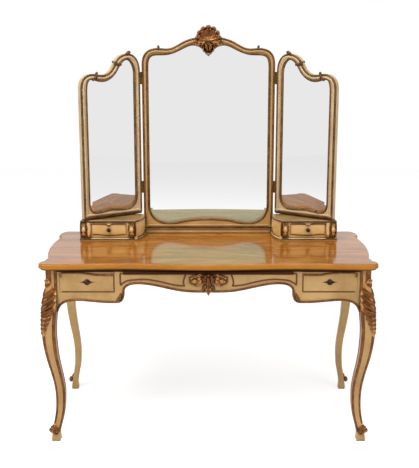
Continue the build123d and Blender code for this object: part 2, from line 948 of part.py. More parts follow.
def screw_cut():
    """The holes that the screws through the top have cut in the right box."""
    cut = [screw(place) for place in screw_places() if place[0] > box_neck_x]
    return cut[0] + cut[1]


def box_top():
    top = table_height + box_height
    lid = slab(box_plan(box_overhang - box_belly), top - box_lid, top)
    return fillet(lid.edges().group_by(Axis.Z)[-1], box_lid_round)


def tray_front():
    """The small drawer's front, which swells with the box."""
    panel = block(
        (tray_low_x + tray_gap, tray_high_x - tray_gap),
        (box_front_y - 2 * box_belly, box_front_y + tray_front_thickness),
        (tray_bed + tray_gap, tray_bed + tray_height - tray_gap),
    )
    return panel & box_body()


def tray():
    """The small drawer's sides, back and floor, as separate boards."""
    low_x = tray_low_x + tray_gap
    high_x = tray_high_x - tray_gap
    front = box_front_y + tray_front_thickness
    back = box_front_y + tray_length
    bed = tray_bed + running_gap
    z = (bed, tray_bed + tray_height - 2 * tray_gap)
    inner_x = (low_x + tray_wall, high_x - tray_wall)
    return [
        block((low_x, inner_x[0]), (front, back), z),
        block((inner_x[1], high_x), (front, back), z),
        block(inner_x, (back - tray_wall, back), z),
        block(inner_x, (front, back - tray_wall), (bed, bed + tray_floor)),
    ]


def tray_knob():
    """A small turned knob on a stem."""
    profile = make_face(
        [
            Polyline((0, 0), (knob_stem, 0), (knob_stem, knob_length * 0.35)),
            Spline(
                (knob_stem, knob_length * 0.35),
                (knob_radius, knob_length * 0.62),
                (0, knob_length),
                tangents=[(1, 0), (-1, 0)],
            ),
            Line((0, knob_length), (0, 0)),
        ]
    )
    knob = Rot(180, 0, 0) * revolve(profile, axis=Axis.Y)
    seat = tray_front().faces().sort_by(Axis.Y)[0].center().Y
    return Pos((tray_low_x + tray_high_x) / 2, seat, tray_bed + tray_height / 2) * knob - tray_front()


# ---------------------------------------------------------------- carvings
def shell(radius, rise, ribs, leaf):
    """A scallop shell with its hub at the origin and its back at y = 0, over a pointed leaf."""
    spread = radians(210)
    pitch = spread / (ribs - 1)
    tip = radius * sin(pitch / 2) / (1 + sin(pitch / 2)) * 1.12
    foot = (Align.CENTER, Align.CENTER, Align.MIN)
    plate = Rot(90, 0, 0) * Cylinder(radius * 0.72, carving_depth / 2)
    carving = plate + Pos(0, -carving_depth / 3, 0) * Sphere(radius / 4)
    for index in range(ribs):
        angle = index * pitch - spread / 2
        reach = radius + rise * max(cos(angle), 0) - tip
        rib = Cone(tip / 3, tip, reach, align=foot) + Pos(0, 0, reach) * Sphere(tip)
        carving += Pos(0, -carving_depth / 4, 0) * Rot(0, degrees(angle), 0) * rib
    half = radius * 0.46
    side = curve([(half * 0.6, 0), (half, -leaf * 0.3), (0, -leaf)], (1, -0.6), (-0.8, -1))
    outline = [side, mirrored(side), lines([(-half * 0.6, 0), (half * 0.6, 0)])]
    carving += board(outline, -carving_depth / 2, carving_depth / 2)
    reach = 2 * (radius + rise + leaf)
    return carving & block((-reach, reach), (-2 * carving_depth, 0), (-reach, reach))


# ---------------------------------------------------------------- all the pieces
def both(name, shape):
    """The right-hand piece as drawn, and its mirror image for the left."""
    return {f"right_{name}": shape, f"left_{name}": mirror_all(shape)}


def mirror_all(shape):
    if isinstance(shape, list):
        return [mirrored(piece) for piece in shape]
    return mirrored(shape)


def both_sides(shapes):
    """A group with its mirror images, as one list."""
    return shapes + mirror_all(shapes)


centre_frame, centre_glass, centre_backboard = centre_mirror()
wing_frame, wing_glass, wing_backboard = wing_mirror()

pieces = {
    "table_top": table_top(),
    "top_screws": [screw(place) for place in screw_places()],
    "front_top_rail": front_top_rail(),
    "centre_apron": centre_apron(),
    "back_apron": back_apron(),
    "glue_blocks": glue_blocks(),
    "apron_cartouche": Pos(0, apron_front_y, under_top - cartouche_hub_drop)
    * shell(cartouche_radius, cartouche_rise, cartouche_ribs, cartouche_leaf),
    "mirror_plinth": mirror_plinth(),
    "centre_frame": centre_frame,
    "centre_glass": centre_glass,
    "centre_backboard": centre_backboard,
    "shell_crest": Pos(0, frame_front_y, frame_foot + crest_hub_height)
    * shell(crest_radius, crest_rise, crest_ribs, crest_leaf),
    "frame_hinge_leaves": both_sides(frame_hinge_leaves()),
    "hinge_pins": both_sides(hinge_pins()),
    **both("front_leg", mortised_leg(-1)),
    **both("back_leg", mortised_leg(1)),
    **both("drawer_rail", drawer_rail()),
    **both("divider_stile", divider_stile()),
    **both("side_apron", side_apron()),
    **both("partition", partition()),
    **both("drawer_runners", runners()),
    **both("drawer_front", drawer_front()),
    **both("drawer_sides", drawer_sides()),
    **both("drawer_back", drawer_back()),
    **both("drawer_bottom", drawer_bottom()),
    **both("lock_case", lock_case()),
    **both("lock_bolt", bolt_block()),
    **both("escutcheon", escutcheon()),
    **both("wing_frame", wing_frame),
    **both("wing_glass", wing_glass),
    **both("wing_backboard", wing_backboard),
    **both("wing_hinge_leaves", wing_hinge_leaves()),
    **both("box_case", box_case()),
    **both("box_lid", box_top()),
    **both("tray_front", tray_front()),
    **both("tray", tray()),
    **both("tray_knob", tray_knob()),
}

os.makedirs("parts", exist_ok=True)
for name, shape in pieces.items():
    solids = shape if isinstance(shape, list) else [shape]
    export_step(Compound([solid for piece in solids for solid in piece.solids()]), f"parts/{name}.step")
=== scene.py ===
import math

import bmesh
import bpy
from mathutils import Matrix, Vector


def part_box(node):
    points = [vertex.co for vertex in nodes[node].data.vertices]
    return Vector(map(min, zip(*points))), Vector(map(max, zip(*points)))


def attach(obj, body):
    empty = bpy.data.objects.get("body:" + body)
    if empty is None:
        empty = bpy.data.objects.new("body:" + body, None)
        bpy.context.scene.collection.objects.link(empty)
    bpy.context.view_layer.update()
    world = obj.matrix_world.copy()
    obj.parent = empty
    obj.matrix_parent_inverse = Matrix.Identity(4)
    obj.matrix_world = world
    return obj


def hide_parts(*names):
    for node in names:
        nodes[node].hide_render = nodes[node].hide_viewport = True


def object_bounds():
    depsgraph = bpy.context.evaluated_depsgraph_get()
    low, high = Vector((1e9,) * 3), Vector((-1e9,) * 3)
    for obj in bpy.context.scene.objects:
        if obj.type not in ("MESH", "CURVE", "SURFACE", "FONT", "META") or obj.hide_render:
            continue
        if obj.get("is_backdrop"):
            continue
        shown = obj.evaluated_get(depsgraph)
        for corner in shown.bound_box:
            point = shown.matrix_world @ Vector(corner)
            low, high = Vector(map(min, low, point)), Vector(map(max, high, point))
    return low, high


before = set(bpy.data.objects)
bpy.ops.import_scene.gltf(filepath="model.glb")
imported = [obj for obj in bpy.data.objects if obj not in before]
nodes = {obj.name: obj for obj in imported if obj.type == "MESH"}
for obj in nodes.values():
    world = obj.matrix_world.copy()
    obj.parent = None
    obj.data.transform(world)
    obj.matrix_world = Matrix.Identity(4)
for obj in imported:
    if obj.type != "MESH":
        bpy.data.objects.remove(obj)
cad_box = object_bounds()


# ------------------------------------------------------------------ studio
# A plain white floor and a white surround, with one large soft lamp high on the left, a
# weaker one on the right and one overhead. Polished surfaces show the upper part of the
# room as well: green daylight behind the camera, and dimmer walls on both sides.
def linear(text):
    """An sRGB hex colour as linear RGBA."""
    values = [int(text[i:i + 2], 16) / 255 for i in (1, 3, 5)]
    return (*[v / 12.92 if v <= 0.04045 else ((v + 0.055) / 1.055) ** 2.4 for v in values], 1.0)


def fill(tree, node, inputs):
    """Gives a node's sockets values, or links them to sockets or to other nodes."""
    for name, value in inputs.items():
        if isinstance(value, bpy.types.Node):
            value = value.outputs[0]
        if isinstance(value, bpy.types.NodeSocket):
            tree.links.new(value, node.inputs[name])
        else:
            node.inputs[name].default_value = value


def add(tree, kind, inputs=(), stops=(), **settings):
    """Adds a node with its inputs, its settings and the stops of its colour ramp."""
    node = tree.nodes.new("ShaderNode" + kind)
    for name, value in settings.items():
        setattr(node, name, value)
    for index, (spot, colour) in enumerate(stops):
        marks = node.color_ramp.elements
        mark = marks[index] if index < 2 else marks.new(spot)
        mark.position = spot
        mark.color = linear(colour)
    fill(tree, node, dict(inputs))
    return node


def new_material(name):
    material = bpy.data.materials.new(name)
    material.use_nodes = True
    return material, material.node_tree, material.node_tree.nodes["Principled BSDF"]


def plain(name, colour, inputs):
    """A material in one colour."""
    material, tree, shader = new_material(name)
    fill(tree, shader, {"Base Color": linear(colour), **inputs})
    return material


def nothing_selected():
    bpy.ops.object.select_all(action="DESELECT")


def seen_directly(tree):
    """1 for camera, glossy and transmission rays, and 0 for the rays that light the object."""
    path = add(tree, "LightPath")
    shown_or_glossy = add(tree, "Math", {0: path.outputs["Is Camera Ray"], 1: path.outputs["Is Glossy Ray"]},
                          operation="MAXIMUM")
    return add(tree, "Math", {0: shown_or_glossy, 1: path.outputs["Is Transmission Ray"]},
               operation="MAXIMUM")


world = bpy.data.worlds.new("surround")
world.use_nodes = True
bpy.context.scene.world = world
tree = world.node_tree
direction = add(tree, "SeparateXYZ", {"Vector": add(tree, "TexCoord").outputs["Generated"]})
higher = add(tree, "MapRange", {"Value": direction.outputs["Z"], "From Min": 0.13, "From Max": 0.19})
polished = add(tree, "Math", {0: higher, 1: add(tree, "LightPath").outputs["Is Glossy Ray"]},
               operation="MULTIPLY")
nearer = add(tree, "MapRange", {"Value": direction.outputs["Y"], "From Min": -0.55, "From Max": -0.85})
sideways = add(tree, "Math", {0: direction.outputs["X"]}, operation="ABSOLUTE")
aside = add(tree, "MapRange", {"Value": sideways, "From Min": 0.6, "From Max": 0.85})
daylight = add(tree, "Math", {0: polished, 1: nearer}, operation="MULTIPLY")
dusk = add(tree, "Math", {0: polished, 1: aside}, operation="MULTIPLY")
tinted = add(tree, "MixRGB", {"Fac": daylight, "Color1": (1, 1, 1, 1), "Color2": linear("#C4FFDF")})
dimmed = add(tree, "MixRGB", {"Fac": dusk, "Color1": tinted, "Color2": linear("#8A8A80")})
strength = add(tree, "MapRange", {"Value": seen_directly(tree), "To Min": 0.42, "To Max": 1.0})
fill(tree, tree.nodes["Background"], {"Color": dimmed, "Strength": strength})

nothing_selected()
bpy.ops.mesh.primitive_plane_add(size=16, location=(0, 0, -0.0005))
floor = bpy.context.object
floor.name = "floor"
floor_paint, tree, shader = new_material("matt_white_floor")
glow = add(tree, "MapRange", {"Value": seen_directly(tree), "To Min": 0.0, "To Max": 0.62})
fill(tree, shader, {"Base Color": linear("#E6E6E6"), "Roughness": 0.9, "Specular IOR Level": 0.1,
                    "Emission Color": (1, 1, 1, 1), "Emission Strength": glow})
floor.data.materials.append(floor_paint)
floor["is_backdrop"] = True

for name, place, size, power in (
    ("key_lamp", (-1.9, -2.6, 3.9), 1.8, 82),
    ("fill_lamp", (2.8, -2.8, 2.6), 2.4, 26),
    ("top_lamp", (0.0, -0.9, 4.0), 2.4, 46),
):
    lamp = bpy.data.lights.new(name, "AREA")
    lamp.shape = "DISK"
    lamp.size = size
    lamp.energy = power
    holder = bpy.data.objects.new(name, lamp)
    bpy.context.scene.collection.objects.link(holder)
    holder.location = place
    middle_height = Vector((0, 0, 0.8))
    holder.rotation_euler = (middle_height - Vector(place)).to_track_quat("-Z", "Y").to_euler()

camera = bpy.data.cameras.new("camera")
camera.lens = 65.0
camera.sensor_width = 36
camera.shift_x = 0.0023
eye = bpy.data.objects.new("camera", camera)
bpy.context.scene.collection.objects.link(eye)
eye.location = (0, -3.521, 1.58)
looking_down = 12.26
eye.rotation_euler = (math.radians(90 - looking_down), 0, 0)
bpy.context.scene.camera = eye
bpy.context.scene.view_settings.view_transform = "Standard"


# ------------------------------------------------------------------ table top
# A solid board veneered in figured wood with a French polish; its front edge is cross
# banded and rounded, and a narrower step below it throws a dark line over the aprons.
def finish(node_names, material):
    """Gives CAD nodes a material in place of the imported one."""
    for name in node_names:
        slots = nodes[name].data.materials
        slots.clear()
        slots.append(material)


# French-polished figured veneer: honey brown, grain along the length, with blue-green
# mineral streaks and reddish knots, and a hard glossy film over them.
veneer, tree, shader = new_material("polished_veneer")
place = add(tree, "TexCoord").outputs["Object"]
broad = add(tree, "Mapping", {"Vector": place, "Scale": (2.2, 9, 9)})  # figure 450 x 110 mm
cloud = add(tree, "TexNoise", {"Vector": broad, "Scale": 1, "Detail": 4, "Roughness": 0.55,
                               "Distortion": 1.4})
honey = add(tree, "ValToRGB", {"Fac": cloud}, ((0.3, "#8A4A14"), (0.72, "#C28235"), (0.5, "#AD6A25")))
fine = add(tree, "Mapping", {"Vector": place, "Scale": (9, 260, 260)})  # grain lines 4 mm apart
grain = add(tree, "TexNoise", {"Vector": fine, "Scale": 1, "Detail": 3, "Distortion": 0.6})
grain_dark = add(tree, "MapRange", {"Value": grain, "From Min": 0.35, "From Max": 0.65,
                                    "To Min": 0.8, "To Max": 1.08})
grained = add(tree, "MixRGB", {"Fac": 1, "Color1": honey, "Color2": grain_dark}, blend_type="MULTIPLY")
wood = grained
for offset, scale, detail, roughness, swirl, low, high, colour in (
    ((3.1, 7.7, 0), (6, 42, 42), 5, 0.6, 1.8, 0.55, 0.68, "#7C824E"),  # blue-green streaks
    ((1.3, 2.9, 0), (12, 60, 60), 4, 0.5, 1.2, 0.6, 0.74, "#7E3512"),  # reddish knots
):
    moved = add(tree, "Mapping", {"Vector": place, "Location": offset, "Scale": scale})
    marks = add(tree, "TexNoise", {"Vector": moved, "Scale": 1, "Detail": detail, "Roughness": roughness,
                                   "Distortion": swirl})
    share = add(tree, "MapRange", {"Value": marks, "From Min": low, "From Max": high,
                                   "To Min": 0.0, "To Max": 0.6})
    wood = add(tree, "MixRGB", {"Fac": share, "Color1": wood, "Color2": linear(colour)})
faces = add(tree, "SeparateXYZ", {"Vector": add(tree, "NewGeometry").outputs["Normal"]})
banding = add(tree, "MapRange", {"Value": faces.outputs["Z"], "From Min": 0.4, "From Max": 0.8,
                                 "To Min": 0.55, "To Max": 0.0})  # the cross banding is a lighter gold
banded = add(tree, "MixRGB", {"Fac": banding, "Color1": wood, "Color2": linear("#D48E28")})
level = add(tree, "SeparateXYZ", {"Vector": place}).outputs["Z"]
painted_shadow_share = add(tree, "MapRange", {"Value": level, "From Min": 0.7352, "From Max": 0.7366,
                                "To Min": 0.85, "To Max": 0.0})  # the lowest 2 mm are painted dark: a painted shadow under the edge
edge_with_painted_shadow = add(tree, "MixRGB", {"Fac": painted_shadow_share, "Color1": banded, "Color2": linear("#2E1809")})
film = add(tree, "MapRange", {"Value": faces.outputs["Z"], "From Min": 0.4, "From Max": 0.9,
                              "To Min": 0.3, "To Max": 1.0})  # the edges are polished less
fill(tree, shader, {"Base Color": edge_with_painted_shadow, "Roughness": 0.4, "Specular IOR Level": 0.0,
                    "Coat Weight": film, "Coat Roughness": 0.13})
finish(["table_top"], veneer)


# ------------------------------------------------------------------ aprons and rails
# Scalloped beech rails tenoned into the legs, painted cream over gesso, with a gilt bead
# worked along every lower edge. Thin gilt ridges outline the panels of the middle one.
def in_hollows(tree, colour, other, reach, low, high, most, ridges=False):
    """A colour that turns into another in hollows this deep, or on ridges instead: painted shade in the
    hollows, painted highlight on the ridges.
    """
    openness = add(tree, "AmbientOcclusion", {"Distance": reach}, samples=8, inside=ridges)
    share = add(tree, "MapRange", {"Value": openness.outputs["AO"], "From Min": low, "From Max": high,
                                   "To Min": most, "To Max": 0.0})
    return add(tree, "MixRGB", {"Fac": share, "Color1": colour, "Color2": linear(other)})


def old_paint(name, low, high, gloss):
    """Brushed oil paint on carved beech under a thin varnish, with brown wax and painted shade darkening it
    wherever other surfaces lie within 16 mm.
    """
    material, tree, shader = new_material(name)
    place = add(tree, "TexCoord").outputs["Object"]
    patch = add(tree, "TexNoise", {"Vector": place, "Scale": 9, "Detail": 4, "Roughness": 0.6})  # 110 mm
    tone = add(tree, "ValToRGB", {"Fac": patch}, ((0.32, low), (0.7, high)))
    brushed = add(tree, "Mapping", {"Vector": place, "Scale": (40, 40, 400)})  # brush marks 2.5 mm apart
    brush = add(tree, "TexNoise", {"Vector": brushed, "Scale": 1, "Detail": 3})
    brush_tone = add(tree, "MapRange", {"Value": brush, "From Min": 0.3, "From Max": 0.7,
                                        "To Min": 0.96, "To Max": 1.03})
    brushed_tone = add(tree, "MixRGB", {"Fac": 1, "Color1": tone, "Color2": brush_tone},
                       blend_type="MULTIPLY")
    # Brown wax in the hollows, and painted shade: the colour darkens wherever other surfaces lie within the
    # reach, under overhangs too.
    waxed_and_shaded = in_hollows(tree, brushed_tone, "#4A2B10", 0.016, 0.3, 0.9, 0.9)
    dent = add(tree, "Bump", {"Strength": 0.08, "Distance": 0.0005, "Height": brush})
    fill(tree, shader, {"Base Color": waxed_and_shaded, "Roughness": 0.42, "Coat Weight": gloss,
                        "Coat Roughness": 0.3, "Normal": dent})
    return material


def pair(*names):
    """The left and the right node of each name."""
    return [side + name for name in names for side in ("left_", "right_")]


paint = old_paint("old_cream_paint", "#B28647", "#D1A766", 0.35)
finish(["centre_apron", "back_apron", *pair("drawer_rail", "divider_stile", "side_apron")], paint)

# Bronze gilding over red bole on carved wood. Brown glaze and painted shade darken its hollows, and burnish
# and painted highlights lighten its raised edges.
gilt, tree, shader = new_material("gilding_glaze_and_painted_light")
place = add(tree, "TexCoord").outputs["Object"]
worn = add(tree, "TexNoise", {"Vector": place, "Scale": 45, "Detail": 4, "Roughness": 0.55})  # 22 mm
gold = add(tree, "ValToRGB", {"Fac": worn}, ((0.34, "#582F12"), (0.68, "#8A5222")))
# Glaze and painted shade within 8 mm of other surfaces; burnish and painted highlight on edges sharper than 3
# mm.
glazed_and_shaded_gold = in_hollows(tree, gold, "#241008", 0.008, 0.3, 0.85, 0.9)
burnished_and_highlit_gold = in_hollows(tree, glazed_and_shaded_gold, "#D39A58", 0.0030, 0.45, 0.8, 0.75, ridges=True)
hammer = add(tree, "TexNoise", {"Vector": place, "Scale": 160, "Detail": 2})  # tool marks 6 mm apart
dent = add(tree, "Bump", {"Strength": 0.22, "Distance": 0.0006, "Height": hammer})
fill(tree, shader, {"Base Color": burnished_and_highlit_gold, "Metallic": 0.65, "Roughness": 0.36, "Normal": dent})

# The rail under the top is painted dark brown as painted shade for the shadow under the top's overhang, so
# the top seems to float over the aprons.
painted_shade_brown = plain("painted_shade_brown_wood", "#48260F", {"Roughness": 0.6, "Specular IOR Level": 0.1})
finish(["front_top_rail"], painted_shade_brown)

# The thin lines round panels and drawers are gilt too, but the brown glaze covers them.
glazed_line = plain("brown_glazed_line", "#6A3A18", {"Metallic": 0.3, "Roughness": 0.45})


def edge_lines(names, chosen):
    """The sharp edges of CAD nodes that a test picks, as lists of points in order."""
    pairs = []
    for name in names:
        shape = bmesh.new()
        shape.from_mesh(nodes[name].data)
        bmesh.ops.remove_doubles(shape, verts=shape.verts, dist=0.00002)
        shape.normal_update()
        for edge in shape.edges:
            if len(edge.link_faces) == 2 and edge.calc_face_angle(0) > 0.2 and chosen(edge):
                pairs.append([corner.co.copy() for corner in edge.verts])
        shape.free()
    lines = linked(linked(pairs, 0.0004), 0.004)
    return sorted(lines, key=lambda line: -sum((b - a).length for a, b in zip(line, line[1:])))


def linked(pieces, gap):
    """Lines joined end to end wherever their ends are no further apart than the gap."""
    pieces = list(pieces)
    lines = []
    while pieces:
        line = pieces.pop()
        grown = True
        while grown:
            grown = False
            for piece in pieces:
                for run in (piece, piece[::-1]):
                    if (line[-1] - run[0]).length < gap:
                        line = line + run[1:]
                    elif (line[0] - run[-1]).length < gap:
                        line = run[:-1] + line
                    else:
                        continue
                    grown = True
                    break
                if grown:
                    pieces.remove(piece)
                    break
        lines.append(line)
    return lines


def evened(line, closed=False, spacing=0.005):
    """The same line with its points a few millimetres apart."""
    line = list(line)
    if closed and (line[0] - line[-1]).length > 0.0001:
        line.append(line[0])
    steps = [(b - a).length for a, b in zip(line, line[1:])]
    count = max(8, round(sum(steps) / spacing))
    points = []
    index, passed = 0, 0.0
    for number in range(count if closed else count + 1):
        goal = sum(steps) * number / count
        while index < len(steps) - 1 and passed + steps[index] < goal:
            passed += steps[index]
            index += 1
        share = (goal - passed) / steps[index] if steps[index] else 0.0
        points.append(line[index].lerp(line[index + 1], min(1.0, share)))
    return points


def only_selected(*pieces):
    """Selects these pieces alone, with the first of them active."""
    nothing_selected()
    for piece in pieces:
        piece.select_set(True)
    bpy.context.view_layer.objects.active = pieces[0]


def named(piece, name):
    piece.name = name
    piece.data.name = name
    return piece


def shown(piece, name):
    """The selected piece with its name and smooth shading."""
    bpy.ops.object.shade_smooth_by_angle(angle=math.radians(50))
    return named(piece, name)


def bead(name, points, radius, closed=False, widths=None):
    """A round moulding along a line, thicker and thinner where widths says."""
    line = bpy.data.curves.new(name, "CURVE")
    line.dimensions = "3D"
    line.bevel_depth = radius
    line.bevel_resolution = 2
    line.use_fill_caps = True
    spline = line.splines.new("POLY")
    spline.points.add(len(points) - 1)
    spline.use_cyclic_u = closed
    for index, (point, place) in enumerate(zip(spline.points, points)):
        point.co = (*place, 1)
        point.radius = widths(index / (len(points) - 1)) if widths else 1.0
    piece = bpy.data.objects.new(name, line)
    bpy.context.scene.collection.objects.link(piece)
    only_selected(piece)
    bpy.ops.object.convert(target="MESH")
    return shown(bpy.context.object, name)


def joined(name, pieces):
    only_selected(*pieces)
    bpy.ops.object.join()
    return named(pieces[0], name)


def turned_left(piece):
    """A right-hand piece made left-handed."""
    piece.data.transform(Matrix.Scale(-1, 4, (1, 0, 0)))
    piece.data.flip_normals()
    return piece


def other_side(piece, name):
    """A copy with its own mesh on the left of the table."""
    twin = bpy.data.objects.new(name, piece.data.copy())
    twin.data.name = name
    bpy.context.scene.collection.objects.link(twin)
    return turned_left(twin)


def carried(piece, body, slot, material=None):
    """A finished piece, made to ride on its body."""
    if material:
        piece.data.materials.clear()
        piece.data.materials.append(material)
    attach(piece, body)
    return piece


def smooth_path(points, count=8):
    """Points (x, z) joined by a smooth line (Catmull-Rom)."""
    padded = [points[0], *points, points[-1]]
    path = []
    for a, b, c, d in zip(padded, padded[1:], padded[2:], padded[3:]):
        for step in range(count):
            t = step / count
            path.append([
                0.5 * (2 * b[k] + (c[k] - a[k]) * t + (2 * a[k] - 5 * b[k] + 4 * c[k] - d[k]) * t * t
                       + (3 * b[k] - a[k] - 3 * c[k] + d[k]) * t ** 3)
                for k in range(len(b))
            ])
    path.append(list(points[-1]))
    return path


def on_front(points, y, count=8):
    """A smooth line through points (x, z) in millimetres, in an upright plane."""
    return [Vector((x / 1000, y, z / 1000)) for x, z in smooth_path(points, count)]


apron_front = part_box("centre_apron")[0].y
shoulder = 0.643  # where the stiles meet the centre apron


def lower_edge(edge):
    """A front edge over the scalloped underside, or round the foot of a stile."""
    facing = [face.normal.y < -0.9 for face in edge.link_faces]
    if sum(facing) != 1:
        return False
    other = edge.link_faces[facing.index(False)].normal
    x, z = edge.verts[0].co.x, max(corner.co.z for corner in edge.verts)
    return other.z < -0.1 or (other.x * x < 0 and abs(x) < 0.36 and z < shoulder + 0.0005)


rail_nodes = ["left_drawer_rail", "left_divider_stile", "centre_apron", "right_divider_stile",
              "right_drawer_rail"]
bead_rise, bead_proud = 0.0022, 0.0005  # from the edge to the bead's middle, up and outwards
front_bead_radius = 0.0048
edge_bead = evened(edge_lines(rail_nodes, lower_edge)[0])
edge_bead = [point + Vector((0, -bead_proud, bead_rise)) for point in edge_bead]
carried(bead("apron_edge_bead", edge_bead, front_bead_radius), "root", "gilt_wood", gilt)

# The panels beside the middle are outlined by thin gilt ridges left standing in the wood.
ridge_radius = 0.0030
hands = ((1, "right"), (-1, "left"))
for side, name in hands:
    corner_points = [(88, 716), (350, 716), (350, 668)]
    curved = [(350, 668), (336, 679), (312, 688), (254, 691.5), (196, 683), (138, 669), (95, 664.5)]
    inner = [(95, 664.5), (99, 673), (99, 686), (94, 702), (88, 716)]
    outline = on_front(corner_points[:2], apron_front, 4) + on_front(corner_points[1:], apron_front, 4)
    outline += on_front(curved, apron_front) + on_front(inner, apron_front)
    outline = [Vector((point.x * side, point.y, point.z)) for point in outline]
    ridge = bead(name + "_apron_panel_ridge", evened(outline, closed=True), ridge_radius, closed=True)
    carried(ridge, "root", "gilt_wood", glazed_line)

# A dark brown fillet runs under the top, over the whole width of the centre apron: painted shade for the
# shadow of the top's overhang.
fillet_radius, fillet_middle, fillet_half_length = 0.0085, 0.7180, 0.3375
fillet_inset = 0.0030  # its middle lies this far behind the apron's face
fillet = [Vector((fillet_half_length * (step / 24 - 1), apron_front + fillet_inset, fillet_middle))
          for step in range(49)]
carried(bead("apron_top_shade_fillet", fillet, fillet_radius), "root", "painted_wood", painted_shade_brown)


# ------------------------------------------------------------------ apron cartouche
# A hooded shell over hanging leaves between three pairs of scrolls, carved in lime wood,
# gilt, and glued to the middle of the centre apron.
def edit_all(piece):
    """Edit mode, with everything selected."""
    only_selected(piece)
    bpy.ops.object.mode_set(mode="EDIT")
    bpy.ops.mesh.select_all(action="SELECT")


def faced_out():
    """Out of edit mode, with every face turned outwards."""
    bpy.ops.mesh.select_all(action="SELECT")
    bpy.ops.mesh.normals_make_consistent(inside=False)
    bpy.ops.object.mode_set(mode="OBJECT")


def moved_grid(columns, rows, place):
    """A grid in edit mode, moved to where place(across from -1 to 1, along from 0 to 1) says."""
    nothing_selected()
    bpy.ops.mesh.primitive_grid_add(x_subdivisions=columns, y_subdivisions=rows, size=2)
    piece = bpy.context.object
    for corner in piece.data.vertices:
        corner.co = place(corner.co.x, (corner.co.y + 1) / 2)
    edit_all(piece)
    return piece


def relief(name, columns, rows, place, out, depth):
    """A carved surface on a fine grid, with a flat back."""
    piece = moved_grid(columns, rows, place)
    bpy.ops.mesh.remove_doubles(threshold=0.00002)
    bpy.ops.mesh.select_mode(type="EDGE")
    bpy.ops.mesh.select_all(action="DESELECT")
    bpy.ops.mesh.select_non_manifold(extend=False, use_wire=False, use_boundary=True,
                                     use_multi_face=False, use_non_contiguous=False, use_verts=False)
    bpy.ops.mesh.extrude_region_move(TRANSFORM_OT_translate={"value": tuple(-out * depth)})
    bpy.ops.mesh.edge_face_add()
    faced_out()
    return shown(piece, name)


def leaf(name, foot, up, out, length, width, height, lobes=4, bend=0.0, blunt=0.0):
    """An acanthus leaf from its foot to its tip, cut into lobes on both sides of its rib."""
    across = up.cross(out)

    def place(u, v):
        turn = bend * v
        reach = length * (math.sin(turn) / bend if bend else v)
        drift = length * ((1 - math.cos(turn)) / bend if bend else 0.0)
        side = across * math.cos(turn) - up * math.sin(turn)
        spread = max(math.sin(math.pi * v ** 0.8), 0.0) ** 0.7
        spread = max(spread, blunt * (1 - v))
        cut = 0.5 - 0.5 * math.cos(2 * math.pi * lobes * v)
        half = width * spread * (1 - 0.24 * cut)
        body = height * (1 - abs(u) ** 2.4) * (0.3 + 0.7 * max(math.sin(math.pi * v), 0.0) ** 0.5)
        rib = 0.34 * height * math.exp(-(u / 0.16) ** 2) * (1 - v)
        fold = 0.2 * height * math.cos(2 * math.pi * lobes * (v - 0.22 * abs(u)) + math.pi)
        fold *= math.sin(math.pi * abs(u)) * math.sin(math.pi * v)
        return foot + up * reach + across * drift + side * (u * half) + out * (body - rib + fold)

    return relief(name, 15, 30, place, out, 0.003)


def shell(name, centre, up, out, radius, rise, height, lobes, spread):
    """A scallop shell: flutes from its hub to a rim of rolled lobes."""
    across = up.cross(out)
    roll_start = 0.74  # share of the radius where the rim starts to roll over

    def place(u, v):
        angle = u * spread
        wave = abs(math.sin(math.pi * lobes * (u + 1) / 2))
        reach = (radius + rise * max(math.cos(angle), 0.0) ** 2) * (0.88 + 0.12 * wave ** 0.6)
        dish = height * (0.35 + 0.45 * v ** 2) - 0.22 * height * (1 - wave) * v
        if v > roll_start:
            share = (v - roll_start) / 0.26
            dish = dish * (1 - share) + height * (0.25 + 0.75 * wave) * math.sin(math.pi * share)
        return centre + (up * math.cos(angle) + across * math.sin(angle)) * reach * v + out * dish

    return relief(name, lobes * 9, 22, place, out, 0.004)


def volute(name, centre, up, out, radius, turns, thickness, start=0.0, hand=1):
    """A scroll that winds in to its eye and grows thinner."""
    across = up.cross(out)
    points = []
    count = int(turns * 22)
    for index in range(count + 1):
        t = index / count
        angle = start + hand * 2 * math.pi * turns * t
        reach = radius * (1 - t) ** 0.85 + 0.12 * radius
        points.append(centre + (up * math.sin(angle) + across * math.cos(angle)) * reach
                      + out * (0.3 + 0.7 * t) * thickness)
    scroll = bead(name, points, thickness, widths=lambda t: 1 - 0.5 * t)
    nothing_selected()
    bpy.ops.mesh.primitive_uv_sphere_add(segments=12, ring_count=8, radius=radius * 0.24)
    eye = bpy.context.object
    eye.data.transform(Matrix.Translation(centre + out * thickness))
    bpy.ops.object.shade_smooth()
    return joined(name, [scroll, eye])


front = Vector((0, -1, 0))
upwards = Vector((0, 0, 1))


def aim(degrees):
    """A direction in the front plane, turned from straight up towards the right."""
    return Vector((math.sin(math.radians(degrees)), 0, math.cos(math.radians(degrees))))


def on_face(y):
    """A function that gives places on an upright face, in millimetres."""
    def place(x, z, lift=0.0):
        return Vector((x / 1000, y - lift / 1000, z / 1000))

    return place


